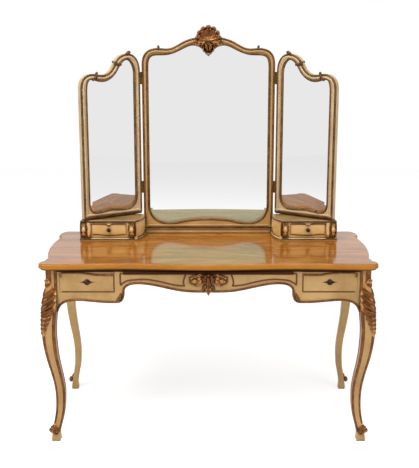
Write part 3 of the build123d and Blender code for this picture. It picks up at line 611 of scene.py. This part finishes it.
on_apron = on_face(apron_front)
parts = [
    shell("hood", on_apron(0, 684), upwards, front, 0.030, 0.007, 0.015, 7, 1.9),
    leaf("nose", on_apron(0, 701, 6), aim(180), front, 0.032, 0.014, 0.017, 1, blunt=0.5),
    leaf("pendant", on_apron(0, 674, 1), aim(180), front, 0.049, 0.015, 0.013, 3, blunt=0.8),
]
side_leaves = [  # across, height, heading in degrees, length, width, bend
    (28, 712, 96, 34, 6.0, 0.3), (52, 708, 112, 26, 5.5, 0.9), (60, 698, 70, 20, 5.0, 0.9),
    (58, 668, 262, 24, 6.0, 0.8), (44, 690, 130, 20, 5.0, -0.6), (16, 690, 97, 54, 15.0, 0.1),
    (30, 692, 176, 26, 5.5, -0.5),
]
for hand in (1, -1):
    parts.append(leaf("petal", on_apron(hand * 4, 673), aim(hand * 132), front, 0.037, 0.0095, 0.012, 2,
                      bend=hand * 0.4, blunt=0.7))
    parts.append(leaf("low_petal", on_apron(hand * 3, 664), aim(hand * 160), front, 0.030, 0.0065, 0.010,
                      2, blunt=0.7))
    for x, z, radius, turns, thickness, start, winding in (
        (62, 684, 0.0125, 1.6, 0.0040, 1.6, -1), (38, 702, 0.0098, 1.3, 0.0036, 1.6, 1),
        (42, 674, 0.0078, 1.2, 0.0032, 4.4, -1),
    ):
        parts.append(volute("scroll", on_apron(hand * x, z, 1), upwards, front, radius, turns, thickness,
                            start, winding * hand))
    for x, z, heading, length, width, bend in side_leaves:
        parts.append(leaf("side_leaf", on_apron(hand * x, z), aim(hand * heading), front, length / 1000,
                          width / 1000, 0.0085, 3, bend=hand * bend, blunt=0.6))
cartouche = joined("carved_cartouche", parts)
carried(cartouche, "root", "gilt_wood", gilt)
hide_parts("apron_cartouche")

# A small leaf scrolls down each stile's foot.
for side, name in hands:
    foot = Vector((side * 0.3425, apron_front + 0.001, 0.640))
    piece = leaf(name + "_stile_leaf", foot, aim(side * 164), front, 0.044, 0.008, 0.009, 4,
                 bend=side * -0.7, blunt=0.5)
    carried(piece, "root", "gilt_wood", gilt)

# The end aprons have the same bead along their undersides.
end_bead_radius = 0.0042
for side, name in hands:
    def under_side(edge):
        facing = [face.normal.x * side > 0.9 for face in edge.link_faces]
        return sum(facing) == 1 and edge.link_faces[facing.index(False)].normal.z < -0.1

    line = evened(edge_lines([name + "_side_apron"], under_side)[0])
    line = [point + Vector((side * bead_proud, 0, bead_rise)) for point in line]
    carried(bead(name + "_end_apron_bead", line, end_bead_radius), "root", "gilt_wood", gilt)


# ------------------------------------------------------------------ legs
# Cabriole legs in one piece with their posts, cut from beech. The front pair have sunk
# cream faces between gilt edges, acanthus on the knees and scrolled toes.
post = Vector((0.624, -0.265))
post_half = 0.022
leg_stations = [  # height above the floor, reach out from the post, half width, in mm
    (0, 5.5, 17.5), (1, 5.5, 17.6), (6, 5.5, 18), (12, 5.5, 18), (21, 5.4, 17), (30, 5, 16), (39, 4, 15.6),
    (48, 2.5, 15.5), (57, 0.8, 16), (67, -1, 16.8), (90, -6.4, 17.4), (113, -11, 17.8), (138, -13.9, 18.2),
    (164, -15.5, 18.6), (193, -16, 19.3), (222, -15, 20), (251, -11.8, 20.4), (280, -7.2, 20.8),
    (305, -2.8, 21.4), (331, 2, 22.3), (362, 7, 23.5), (394, 11, 24.8), (420, 13.4, 25.8), (444, 15, 26.5),
    (469, 15.8, 27.1), (494, 15.5, 27.5), (518, 13.9, 27.9), (543, 11.5, 28), (560, 9.3, 28),
    (575, 7.5, 27.7), (588, 6.4, 27.2), (600, 5.5, 26.6), (615, 4.2, 25.4), (630, 2.8, 24), (642, 1.3, 22.9),
    (654, 0.3, 22.1), (666, 0, 22), (700, 0, 22), (732, 0, 22), (733.5, 0, 22), (734, 0, 22),
]
# One face of the section, as shares of its half width: along it, and how far out
leg_face = [(-0.82, 1.0), (-0.7, 1.015), (-0.58, 0.99), (-0.53, 0.91), (-0.25, 0.885), (0, 0.88),
            (0.25, 0.885), (0.53, 0.91), (0.58, 0.99), (0.7, 1.015), (0.82, 1.0), (0.93, 0.93)]


def between(stations, height):
    """The values at a height, in straight lines from one station to the next."""
    for low, high in zip(stations, stations[1:]):
        if height <= high[0]:
            share = (height - low[0]) / (high[0] - low[0])
            return [a + (b - a) * share for a, b in zip(low[1:], high[1:])]
    return stations[-1][1:]


def leg_at(height):
    """The leg's reach and half width at a height, in metres."""
    return [value / 1000 for value in between(leg_stations, height * 1000)]


def sunk_leg():
    """The right front leg, extruded station by station from its foot."""
    nothing_selected()
    ring = [(x * math.cos(q) - y * math.sin(q), x * math.sin(q) + y * math.cos(q))
            for q in (0, math.pi / 2, math.pi, 3 * math.pi / 2) for y, x in leg_face]
    bpy.ops.mesh.primitive_circle_add(vertices=len(ring), radius=1, fill_type="NGON")
    piece = bpy.context.object
    order = sorted(ring, key=lambda place: math.atan2(place[1], place[0]))
    corners = sorted(piece.data.vertices, key=lambda c: math.atan2(c.co.y, c.co.x))
    height, reach, half = [value / 1000 for value in leg_stations[0]]
    for corner, place in zip(corners, order):
        corner.co = (post.x + reach + place[0] * half, post.y - reach + place[1] * half, height)
    edit_all(piece)
    for station in leg_stations[1:]:
        z, out, width = [value / 1000 for value in station]
        bpy.ops.mesh.extrude_region_move(
            TRANSFORM_OT_translate={"value": (out - reach, reach - out, z - height)})
        bpy.ops.transform.resize(value=(width / half, width / half, 1),
                                 center_override=(post.x + out, post.y - out, z))
        height, reach, half = z, out, width
    faced_out()
    return piece


leg = sunk_leg()
leg.data.materials.append(paint)
leg.data.materials.append(gilt)
toe_top, leg_top = 0.035, 0.734
for face in leg.data.polygons:
    reach, half = leg_at(face.center.z)
    x = (face.center.x - post.x - reach) / half
    y = (face.center.y - post.y + reach) / half
    band = max(abs(x), abs(y)) > 0.7 and min(abs(x), abs(y)) > 0.54
    face.material_index = 1 if band and toe_top < face.center.z < leg_top else 0
for corner in leg.data.vertices:  # on the post the sunk face narrows and keeps to the inner side
    x = (corner.co.x - post.x) / post_half
    y = (corner.co.y - post.y) / post_half
    share = min(1.0, max(0.0, (corner.co.z - 0.605) / 0.05))
    if share and y < -0.8 and abs(x) < 0.6:
        corner.co.x += (-0.28 - 0.55 * x) * post_half * share
    elif share and x > 0.8 and abs(y) < 0.6:
        corner.co.y += (0.28 - 0.55 * y) * post_half * share
smoothing = leg.modifiers.new("smoothing", "SUBSURF")
smoothing.levels = smoothing.render_levels = 1
only_selected(leg)
bpy.ops.object.modifier_apply(modifier="smoothing")
shown(leg, "right_carved_front_leg")
twin = other_side(leg, "left_carved_front_leg")
for piece, name in ((leg, "right"), (twin, "left")):
    carried(piece, "root", "painted_wood")
    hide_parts(name + "_front_leg")

# Acanthus wraps the outer corner of each knee: folds that turn over one below the other
# and thin out into a toothed edge along the gilt band.
knee_foot, knee_head = 0.462, 0.694
knee_widths = [(0.462, 0.013), (0.480, 0.018), (0.500, 0.026), (0.515, 0.031), (0.530, 0.038),
               (0.550, 0.045), (0.575, 0.051), (0.600, 0.051), (0.630, 0.047), (0.645, 0.042),
               (0.652, 0.036), (0.660, 0.026), (0.672, 0.022), (0.684, 0.015), (0.694, 0.010)]
knee_folds = [  # height of each fold at the corner, how far it stands out, how far down it thins away
    (0.632, 0.0095, 0.026), (0.600, 0.0095, 0.022), (0.572, 0.0095, 0.019), (0.558, 0.0080, 0.014),
    (0.547, 0.0060, 0.014), (0.529, 0.0055, 0.015), (0.511, 0.0045, 0.015), (0.494, 0.0036, 0.015),
    (0.478, 0.0028, 0.015), (0.686, 0.0050, 0.012), (0.668, 0.0055, 0.018),
]
knee_base = 0.0012  # thickness of the leaf between its folds
tooth_pitch, vein_pitch = 0.0205, 0.0075
corner_round = 0.006
broad_folds = 0.56  # above this height the folds are broad and their edge is hardly toothed


def knee_place(u, v):
    """A place on the knee's leaf: across it from -1 to 1, and up it from 0 to 1."""
    height = knee_foot + (knee_head - knee_foot) * v
    reach, half = leg_at(height)
    width = between(knee_widths, height)[0]
    bite = 0.22 * (0.2 if height > broad_folds else 1)
    tooth = 1 - bite * abs(math.sin(math.pi * (height - 0.47) / tooth_pitch))
    along = min(abs(u) * width * tooth, 2 * half - 0.002)
    share = along / width
    rise = knee_base
    for ridge, proud, tall in knee_folds:
        below = ridge + (0.7 if ridge > broad_folds else 0.4) * along - height
        if 0 <= below < tall:
            rise = max(rise, proud * math.cos(0.5 * math.pi * below / tall) ** 1.3)
        elif -0.004 < below < 0:
            rise = max(rise, proud * (1 + below / 0.004) ** 0.6)
    vein = 0.0007 * math.sin(2 * math.pi * (height - 0.9 * along) / vein_pitch)
    rise = (rise + vein) * (1 - share ** 6) - (0.0035 if abs(u) > 0.97 or v < 0.01 or v > 0.99 else 0)
    corner = Vector((post.x + reach + half, post.y - reach - half, height))
    if along < corner_round:
        turn = (along / corner_round) * math.pi / 4
        centre = corner + Vector((-corner_round, corner_round, 0))
        outward = Vector((math.cos(math.pi / 4 + turn), -math.sin(math.pi / 4 + turn), 0))
        if u < 0:
            outward = Vector((-outward.y, -outward.x, 0))
        return centre + outward * (corner_round + rise)
    if u >= 0:
        return corner + Vector((-along, -rise, 0))
    return corner + Vector((rise, along, 0))


knee = moved_grid(56, 120, knee_place)
faced_out()
shown(knee, "right_knee_acanthus")
# The sheet is open, so one face near its middle settles which way is out
middle = knee.data.polygons[len(knee.data.polygons) // 2 + 28]
if middle.normal.x - middle.normal.y < 0:
    knee.data.flip_normals()
curl_place = Vector((post.x + 0.0205, post.y - 0.0215, 0.681))
curl = volute("knee_curl", curl_place, upwards, Vector((0, -1, 0)), 0.0042, 1.2, 0.0026, 0.0, 1)
knee = joined("right_knee_acanthus", [knee, curl])
for piece in (knee, other_side(knee, "left_knee_acanthus")):
    carried(piece, "root", "gilt_wood", gilt)

# Each toe is a roll with a scroll on both of its ends and a leaf up the front.
toe_half, toe_height = 0.0155, 0.044
diagonal = 0.7071  # the sine of 45 degrees


def toe(name, side_y):
    outward = Vector((diagonal, side_y * diagonal, 0))
    along = Vector((diagonal, -side_y * diagonal, 0))
    post_y, reach = (post.y, 0.0155) if side_y < 0 else (0.271, 0.022)
    centre = Vector((post.x + reach, post_y + side_y * reach, toe_height))
    parts = []
    for end in (1, -1):
        parts.append(volute("toe_scroll", centre + along * end * toe_half, upwards, along * end, 0.0112, 1.5,
                            0.0036, math.pi / 2, side_y * end))
    nothing_selected()
    bpy.ops.mesh.primitive_cylinder_add(vertices=28, radius=0.0118, depth=2 * toe_half)
    roll = bpy.context.object
    edit_all(roll)
    bpy.ops.mesh.bevel(offset=0.0016, segments=2)
    bpy.ops.object.mode_set(mode="OBJECT")
    roll.data.transform(Matrix.Translation(centre) @ along.to_track_quat("Z", "Y").to_matrix().to_4x4())
    bpy.ops.object.shade_smooth_by_angle(angle=math.radians(40))
    parts.append(roll)
    climb = (upwards - outward * 0.45).normalized()
    parts.append(leaf("toe_leaf", centre + outward * 0.003 + upwards * 0.008, climb, outward, 0.026, 0.011,
                      0.006, 3, blunt=0.9))
    return joined(name, parts)


for side_y, name in ((-1, "front"), (1, "back")):
    piece = toe(f"right_{name}_toe", side_y)
    for each in (piece, other_side(piece, f"left_{name}_toe")):
        carried(each, "root", "gilt_wood", gilt)
finish(pair("back_leg"), paint)


# ------------------------------------------------------------------ frieze drawers
# Solid fronts painted like the aprons, with a carved gilt moulding that swells towards the
# knee space along the top, and a dark cock bead along the foot and the inner end.
finish(pair("drawer_front"), paint)
drawer_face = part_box("right_drawer_front")[0].y


def mottled_metal(name, spots_per_metre, detail, stops, metallic, roughness):
    """Tarnished metal in spots of two tones."""
    material, tree, shader = new_material(name)
    place = add(tree, "TexCoord").outputs["Object"]
    spots = add(tree, "TexNoise", {"Vector": place, "Scale": spots_per_metre, "Detail": detail})
    tone = add(tree, "ValToRGB", {"Fac": spots}, stops)
    fill(tree, shader, {"Base Color": tone, "Metallic": metallic, "Roughness": roughness})
    return material


# Cast bronze with a dark brown patina, lighter in 7 mm spots.
bronze = mottled_metal("patinated_bronze", 150, 3, ((0.35, "#20150F"), (0.75, "#5E4630")), 0.8, 0.38)
finish(pair("escutcheon"), bronze)


def top_moulding(name):
    """The right drawer's top moulding, from the curled hook at its outer end."""
    line = [(580, 706), (585, 701), (589, 706), (587, 713), (576, 717.5), (545, 718.5), (512, 718),
            (472, 714.5), (443, 710.5), (404, 710.5), (377, 711.5)]
    top = on_front(line, drawer_face - 0.0006, 6)
    return bead(name, top, 0.0046, widths=lambda t: 0.5 + 0.5 * t)


def cock_beads(name):
    """The beads along the foot and the inner end of the right drawer."""
    foot = on_front([(583, 640.8), (480, 640.8), (377, 640.8)], drawer_face, 4)
    inner = on_front([(375.8, 641), (375.8, 680), (375.8, 716)], drawer_face, 4)
    return joined(name, [bead(name, foot, 0.0024), bead("inner_bead", inner, 0.0021)])


for side, body in hands:
    for trim, material in ((top_moulding(body + "_drawer_trim"), gilt),
                           (cock_beads(body + "_drawer_cock_beads"), glazed_line)):
        if side < 0:
            turned_left(trim)
        carried(trim, body + "_drawer", "gilt_wood", material)


# ------------------------------------------------------------------ centre mirror
# A painted frame on a plinth, screwed to the top. A gilt reeding runs round its outer edge
# and round the sight edge, with a cream torus between them. The plate is bevelled.
finish(["mirror_plinth", "centre_frame"], paint)

# Thin gilding worn to a golden brown, as old mirror frames have it.
frame_gilt, tree, shader = new_material("worn_frame_gilding")
place = add(tree, "TexCoord").outputs["Object"]
worn = add(tree, "TexNoise", {"Vector": place, "Scale": 30, "Detail": 3})  # 33 mm patches
gold = add(tree, "ValToRGB", {"Fac": worn}, ((0.36, "#54350F"), (0.66, "#7E5222")))
# Painted shade: the gilding darkens wherever other surfaces lie within 6 mm.
glazed_and_shaded_gold = in_hollows(tree, gold, "#2A160A", 0.006, 0.35, 0.9, 0.85)
fill(tree, shader, {"Base Color": glazed_and_shaded_gold, "Metallic": 0.5, "Roughness": 0.45})
# The frames' cream is a little darker than the aprons', a painted shade that tones down their lamp-lit tops.
shaded_frame_paint = old_paint("frame_cream_painted_shade", "#AE8348", "#C79A60", 0.12)


def beside(points, normal, distance):
    """A closed flat line moved inwards by a distance, or outwards where it is negative."""
    count = len(points)
    area = sum(points[i - 1].cross(points[i]).dot(normal) for i in range(count))
    hand = 1 if area > 0 else -1
    moved = []
    for index in range(count):
        ahead = (points[(index + 1) % count] - points[index - 1]).normalized()
        moved.append(points[index] + normal.cross(ahead) * hand * distance)
    return moved


def frame_edges(node, normal):
    """A frame's outer edge and its sight edge, both in the plane of its front."""
    def longest(way):
        """The longest line between a side and the frame's front, or its back where way is -1."""
        def chosen(edge):
            turned = [face.normal.dot(normal) * way for face in edge.link_faces]
            return max(turned) > 0.95 and min(map(abs, turned)) < 0.3

        return evened(edge_lines([node], chosen)[0], closed=True)

    outer, inner = longest(-1), longest(1)
    plane = max(point.dot(normal) for point in inner)
    outer = [point + normal * (plane - point.dot(normal)) for point in outer]
    return outer, inner


def frame_mouldings(name, node, normal, body, torus_paint):
    """A frame's gilt reeds and its painted torus; gives back the sight edge."""
    outer, inner = frame_edges(node, normal)

    def run(part, edge, inwards, back, radius):
        return bead(part, [p - normal * back for p in beside(edge, normal, inwards)], radius, closed=True)

    gold = [run("outer", outer, 0.0046, 0.0014, 0.0047), run("sight", inner, -0.0038, 0.0010, 0.0040),
            run("quirk", inner, -0.0002, 0.0028, 0.0024)]
    carried(joined(name + "_gilt_reeds", gold), body, "gilt_wood", frame_gilt)
    torus = run(name + "_torus", outer, 0.0138, 0.0032, 0.0068)
    carried(torus, body, "painted_wood", torus_paint)
    return inner


centre_sight = frame_mouldings("centre_frame", "centre_frame", front, "root", shaded_frame_paint)

# Silvered plate glass, polished flat: it mirrors with a slight grey loss.
silver = plain("silvered_glass", "#E8E8E8", {"Metallic": 1.0, "Roughness": 0.01})


def skinned(name, rings):
    """A closed piece skinned over flat rings with equally many points, and capped at both ends."""
    around, along = len(rings[0]), len(rings) - 1

    def place(u, v):
        return rings[round(v * along)][round((u + 1) / 2 * around) % around]

    piece = moved_grid(around, along, place)
    bpy.ops.mesh.remove_doubles(threshold=0.00001)
    bpy.ops.mesh.fill_holes(sides=0)
    faced_out()
    return named(piece, name)


def bevelled_plate(name, node, sight, normal):
    """A glass behind its frame's lip, its visible border ground to a shallow slope."""
    lip = max(point.dot(normal) for point in sight)
    depth = lip - max(corner.co.dot(normal) for corner in nodes[node].data.vertices)
    hidden, edge = beside(sight, normal, -0.005), beside(sight, normal, 0.0004)
    slope = edge
    for step in range(4):  # the ground border is 10.6 mm wide and rounds the corners a little
        slope = beside(slope, normal, 0.00265)
        slope = [(slope[i - 1] + slope[i] * 2 + slope[(i + 1) % len(slope)]) / 4 for i in range(len(slope))]
    # Each ring's line, and how far it lies behind the lip, from the glass's back to its front
    rings = [(hidden, depth + 0.005), (hidden, depth), (edge, depth), (edge, 0.0040), (slope, 0.0034)]
    return skinned(name, [[point - normal * back for point in line] for line, back in rings])


def nub(name, points, radius):
    """A rounded stub of carved wood along a short bent line."""
    return bead(name, evened(points, spacing=0.0012), radius,
                widths=lambda t: max(0.05, 1 - abs(2 * t - 1) ** 3) ** 0.5)


plate = bevelled_plate("centre_bevelled_glass", "centre_glass", centre_sight, front)
carried(plate, "root", "mirror_glass", silver)
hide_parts("centre_glass")

# The plinth's mouldings: a gilt line under the frame, and a cream one over a thin gilt one at
# the foot.
plinth_low, plinth_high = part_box("mirror_plinth")
reach = plinth_high.x - 0.004
for name, z, radius, material, slot in (
    ("plinth_gilt_line", plinth_high.z - 0.0026, 0.0026, gilt, "gilt_wood"),
    ("plinth_foot_line", plinth_low.z + 0.0046, 0.0030, paint, "painted_wood"),
    ("plinth_low_gilt_line", plinth_low.z + 0.0016, 0.0016, gilt, "gilt_wood"),
):
    line = [Vector((reach * (step / 20 - 1), plinth_low.y, z)) for step in range(41)]
    carried(bead(name, line, radius), "root", slot, material)

# The crest: a scallop with nine lobes over a heart-shaped leaf, carved through and glued
# on. Curls roll over seven of the lobes, and an arch parts the shell from the leaf.
crest_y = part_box("centre_frame")[0].y
on_crest = on_face(crest_y)
hub = 1618  # height of the shell's hub
parts = [shell("crest_shell", on_crest(0, hub, -2), upwards, front, 0.0600, 0.0110, 0.019, 9, 1.92)]
for step in range(-3, 4):
    degrees = step * 31
    angle = math.radians(degrees)
    reach = 46 + 9 * math.cos(angle) ** 2
    place = on_crest(reach * math.sin(angle), hub + reach * math.cos(angle), 7)
    parts.append(volute("rim_curl", place, aim(degrees), front, 0.0078, 1.1, 0.0042, 0.6,
                        1 if step < 0 else -1))
parts.append(shell("crest_heart", on_crest(0, 1604, 5), aim(180), front, 0.0270, 0.0170, 0.018, 5, 2.3))
arch = [(-29, 1588), (-28, 1602), (-20, 1614), (-8, 1620), (8, 1620), (20, 1614), (28, 1602), (29, 1588)]
parts.append(nub("crest_arch", on_front(arch, crest_y - 0.019, 6), 0.0050))
for hand in (1, -1):
    parts.append(leaf("crest_lobe", on_crest(hand * 11, 1607, 20), aim(hand * 184), front, 0.032, 0.0105,
                      0.010, 2, bend=hand * 0.5, blunt=0.8))
    parts.append(leaf("crest_side_leaf", on_crest(hand * 28, 1610, 2), aim(hand * 106), front, 0.036, 0.012,
                      0.014, 3, bend=hand * -0.5, blunt=0.6))
crest = joined("carved_shell_crest", parts)
carried(crest, "root", "gilt_wood", gilt)
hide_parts("shell_crest")

# A small curled stub stands on each shoulder of the frame.
for side, name in hands:
    line = [on_crest(side * x, z, -3) for x, z in ((220, 1588), (220, 1594), (222, 1599), (224, 1601))]
    piece = nub(name + "_shoulder_nub", line, 0.0054)
    carried(piece, "root", "gilt_wood", frame_gilt)


# ------------------------------------------------------------------ wing mirrors
# Two narrower glasses hung on the centre frame. Their mouldings match it, and leaves wrap
# the frame where its outline turns.
# The wings' cream is paler than the aprons', a painted light that makes the wings read as more brightly lit.
lit_wing_cream = old_paint("wing_cream_painted_light", "#C2A273", "#DCC398", 0.2)
finish(pair("wing_frame"), lit_wing_cream)
pin = Vector((0.300, 0.284, 0))  # of the right wing's hinge
stand = math.radians(36)  # how far the wings stand forward
wing_face = 0.003  # from the pin forward to the frame's face
wing_nubs = (  # radius, and places along the wing and up
    (7.6, ((75, 1560), (68, 1567), (60, 1572), (51, 1572))), (4.8, ((139, 1531), (142, 1532), (145, 1533))),
    (4.4, ((103, 1519), (100, 1518), (97, 1517))), (6.0, ((222, 1482), (220, 1486), (217, 1489))),
    (4.6, ((234, 1458), (237, 1456), (240, 1454))), (5.0, ((214, 876), (217, 882), (214, 888))),
)
wing_wraps = (
    ((140, 1531), (131, 1527), (116, 1521), (102, 1518)),
    ((219, 1486), (224, 1477), (230, 1467), (237, 1457)),
    ((134, 1535), (127, 1523), (119, 1513)), ((228, 1485), (226, 1472), (222, 1462)),
)
# The foot strip's section: how far behind the wing's face, and how high
strip_section = [(2, 859), (1, 857), (1, 853.5), (2, 852), (4, 851.5), (20, 851.5), (22, 852), (23, 853.5),
                 (23, 857), (22, 859)]
for side, name in hands:
    normal = Vector((-side * math.sin(stand), -math.cos(stand), 0))
    across = Vector((side * math.cos(stand), -math.sin(stand), 0))
    sight = frame_mouldings(name + "_wing", name + "_wing_frame", normal, name + "_wing", lit_wing_cream)
    plate = bevelled_plate(name + "_wing_bevelled_glass", name + "_wing_glass", sight, normal)
    carried(plate, name + "_wing", "mirror_glass", silver)
    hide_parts(name + "_wing_glass")

    def on_wing(s, z, lift=0.0):
        """A place on the wing: out from its pin and up, in millimetres, lifted off its face in metres."""
        return Vector((side * pin.x, pin.y, z / 1000)) + across * s / 1000 + normal * (wing_face + lift)

    parts = [nub("nub", [on_wing(s, z, -0.001) for s, z in line], radius / 1000)
             for radius, line in wing_nubs]
    for path in wing_wraps:
        lifts = [0.001 + 0.0030 * math.sin(math.pi * i / (len(path) - 1)) for i in range(len(path))]
        parts.append(nub("wrap", [on_wing(s, z, lift) for (s, z), lift in zip(path, lifts)], 0.0044))
    carried(joined(name + "_wing_leaves", parts), name + "_wing", "gilt_wood", frame_gilt)

    # A flat gilt strip under the frame's foot, just clear of the trinket box.
    rings = [[on_wing(s, z, -0.003 - back / 1000) for back, z in strip_section] for s in (6, 100, 200, 298)]
    strip = shown(skinned(name + "_wing_foot_strip", rings), name + "_wing_foot_strip")
    carried(strip, name + "_wing", "gilt_wood", frame_gilt)


# ------------------------------------------------------------------ trinket boxes
# Bombe boxes screwed to the top under the wings, each with one small drawer. A cream boss
# in acanthus covers both front corners, and a shaped gilt moulding frames the drawer.
# The boxes' paint is a paler, brighter gold than the aprons' cream: painted light for the bright light and
# glare on their fronts.
lit_box_paint = old_paint("box_paint_painted_light", "#DDAF67", "#F2CE90", 0.6)
# The lids are painted brown: painted shade for the shadow the wings cast on them.
shaded_lid_paint = old_paint("lid_paint_painted_shade", "#82602F", "#A3804B", 0.5)
finish(pair("box_case", "tray_front"), lit_box_paint)
finish(pair("box_lid"), shaded_lid_paint)
finish(pair("tray_knob"), bronze)
box_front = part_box("right_box_case")[0].y + 0.004
on_box = on_face(box_front)
inner_corner, outer_corner = 338, 549  # middles of the two consoles, across


def console_front(turn):
    """The direction that a corner's console looks in."""
    return Vector((-turn * 0.2, -1, 0)).normalized()


def boss(name, centre, out, width, height, depth):
    """An oval cabochon on a flat back."""
    nothing_selected()
    bpy.ops.mesh.primitive_uv_sphere_add(segments=24, ring_count=14, radius=1)
    piece = bpy.context.object
    turn = Matrix((upwards.cross(out), out, upwards)).transposed().to_4x4()
    piece.data.transform(Matrix.Translation(centre) @ turn @ Matrix.Diagonal((width, depth, height, 1)))
    return shown(piece, name)


def box_cream(name):
    """The cream parts of the right box's front: both bosses and the pilaster at the outer end."""
    parts = []
    for at, turn, reach in ((inner_corner, 1, 1.0), (outer_corner, -1, 0.8)):
        parts.append(boss("boss", on_box(at, 810, 9), console_front(turn), 0.0092 * reach, 0.0125, 0.0062))
    line = on_front([(526, 776), (527, 790), (525, 812), (527, 830), (526, 840)], box_front - 0.001, 6)
    parts.append(bead("pilaster", line, 0.0085))
    parts.append(volute("foot_curl", on_box(318, 770, 5), upwards, front, 0.0058, 1.2, 0.0030, 2.2, -1))
    return joined(name, parts)


def box_trim(name):
    """The acanthus at the corners of the right box's front, carved and gilt."""
    parts = []
    for at, turn, reach in ((inner_corner, 1, 1.0), (outer_corner, -1, 0.75)):
        out = console_front(turn)
        parts.append(leaf("console", on_box(at, 839, -2), aim(180), out, 0.067, 0.019 * reach, 0.012, 4,
                          blunt=0.85))
        rim = [on_box(at, 810, 8) + Vector((math.sin(q) * 0.0118 * reach, 0, math.cos(q) * 0.0152))
               for q in (step * math.pi / 12 for step in range(24))]
        parts.append(bead("rim", rim, 0.0028, closed=True))
        for hand in (1, -1):
            parts.append(volute("scroll", on_box(at + hand * 7 * reach, 830, 6), upwards, out,
                                0.0066 * reach, 1.2, 0.0030, 1.6, hand))
        for lean in (146, 180, 214):
            parts.append(leaf("husk", on_box(at, 797, 5), aim(lean), out, 0.026, 0.0062, 0.008, 2, blunt=0.6))
        edge = [(at - turn * 16 * reach, z) for z in (842, 826, 808, 790, 774)]
        edge = on_front(edge, box_front - 0.003, 6)
        parts.append(bead("corner_rib", edge, 0.0042, widths=lambda t: 0.7 + 0.5 * math.sin(math.pi * t)))
    parts.append(leaf("pilaster_foot", on_box(526, 790, 6), aim(180), front, 0.020, 0.0095, 0.006, 3,
                      blunt=0.9))
    return joined(name, parts)


def tray_trim(name):
    """The shaped moulding planted on the right box's drawer front; it laps over the case."""
    parts = []
    for line, radius in (
        ([(363, 788), (380, 787), (400, 785), (420, 784), (438, 783), (456, 784), (478, 787), (500, 788),
          (514, 788)], 3.0),
        ([(363, 835), (400, 835), (420, 834), (438, 830), (456, 834), (478, 835), (514, 835)], 3.4),
        ([(363, 787), (362.5, 810), (363, 834)], 2.0),
        ([(513, 787), (513.5, 810), (513, 834)], 2.0),
    ):
        parts.append(bead("line", on_front(line, box_front + 0.0006, 5), radius / 1000))
    parts.append(nub("top_nub", [on_box(x, z, 0) for x, z in ((429, 832), (438, 828), (447, 832))], 0.0050))
    return joined(name, parts)


def lid_edge(edge):
    """The lower edge of the lid, except at its back."""
    down = [face.normal.z < -0.9 for face in edge.link_faces]
    return sum(down) == 1 and edge.link_faces[down.index(False)].normal.y < 0.5


def base_edge(edge):
    """The upper edge of the base's moulding, except at its back."""
    z = [corner.co.z for corner in edge.verts]
    return max(z) < 0.771 and min(z) > 0.7645 and min(face.normal.y for face in edge.link_faces) < 0.5


for side, name in hands:
    for trim, body, slot, material in (
        (box_cream(name + "_box_bosses"), "root", "painted_wood", lit_box_paint),
        (box_trim(name + "_box_trim"), "root", "gilt_wood", gilt),
        (tray_trim(name + "_tray_trim"), name + "_tray", "gilt_wood", gilt),
    ):
        if side < 0:
            turned_left(trim)
        carried(trim, body, slot, material)
    line = evened(edge_lines([name + "_box_lid"], lid_edge)[0], spacing=0.003)
    lines = [bead("lid", [p + upwards * 0.0022 for p in line], 0.0026)]
    line = evened(edge_lines([name + "_box_case"], base_edge)[0], spacing=0.003)
    lines.append(bead("base", line, 0.0020))
    carried(joined(name + "_box_beads", lines), "root", "gilt_wood", frame_gilt)


# ------------------------------------------------------------------ unpainted wood
# Drawer linings, partitions, runners and glue blocks are bare beech, waxed and yellowed.
# The mirrors' backboards are of the same wood, stained.
def grained_wood(name, scale, low, high, roughness, swirl, relief_strength):
    """Straight-grained beech, its pores darker than the wood between them."""
    material, tree, shader = new_material(name)
    place = add(tree, "TexCoord").outputs["Object"]
    stretched = add(tree, "Mapping", {"Vector": place, "Scale": scale})
    grain = add(tree, "TexNoise", {"Vector": stretched, "Scale": 1, "Detail": 4, "Distortion": swirl})
    tone = add(tree, "ValToRGB", {"Fac": grain}, ((0.3, low), (0.7, high)))
    fill(tree, shader, {"Base Color": tone, "Roughness": roughness})
    if relief_strength:
        dent = add(tree, "Bump", {"Strength": relief_strength, "Distance": 0.0004, "Height": grain})
        fill(tree, shader, {"Normal": dent})
    return material


# Grain 33 x 200 x 8 mm in the linings, and upright lines 9 mm apart in the backboards
bare_wood = grained_wood("bare_beech", (30, 5, 120), "#8A6238", "#B98F5C", 0.6, 0.4, 0.2)
stained_wood = grained_wood("stained_backboard", (110, 110, 6), "#4C3320", "#6E4E32", 0.65, 0.0, 0.0)
finish(["glue_blocks", *pair("partition", "drawer_runners", "drawer_sides", "drawer_back",
                             "drawer_bottom", "tray")], bare_wood)
finish(["centre_backboard", *pair("wing_backboard")], stained_wood)


# ------------------------------------------------------------------ metalwork
# Brass butt hinges gone brown, forged iron locks and turned steel screws.
brass = mottled_metal("browned_brass", 90, 4, ((0.35, "#5A452A"), (0.7, "#8A7045")), 0.85, 0.4)
finish(["frame_hinge_leaves", "hinge_pins", *pair("wing_hinge_leaves")], brass)
iron = plain("blackened_iron", "#3B3835", {"Metallic": 0.8, "Roughness": 0.5})
finish(pair("lock_case", "lock_bolt"), iron)
steel = plain("turned_steel", "#6D6A66", {"Metallic": 0.9, "Roughness": 0.4})
finish(["top_screws"], steel)


size = {"cad": [list(corner) for corner in cad_box], "visual": [list(corner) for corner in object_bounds()]}
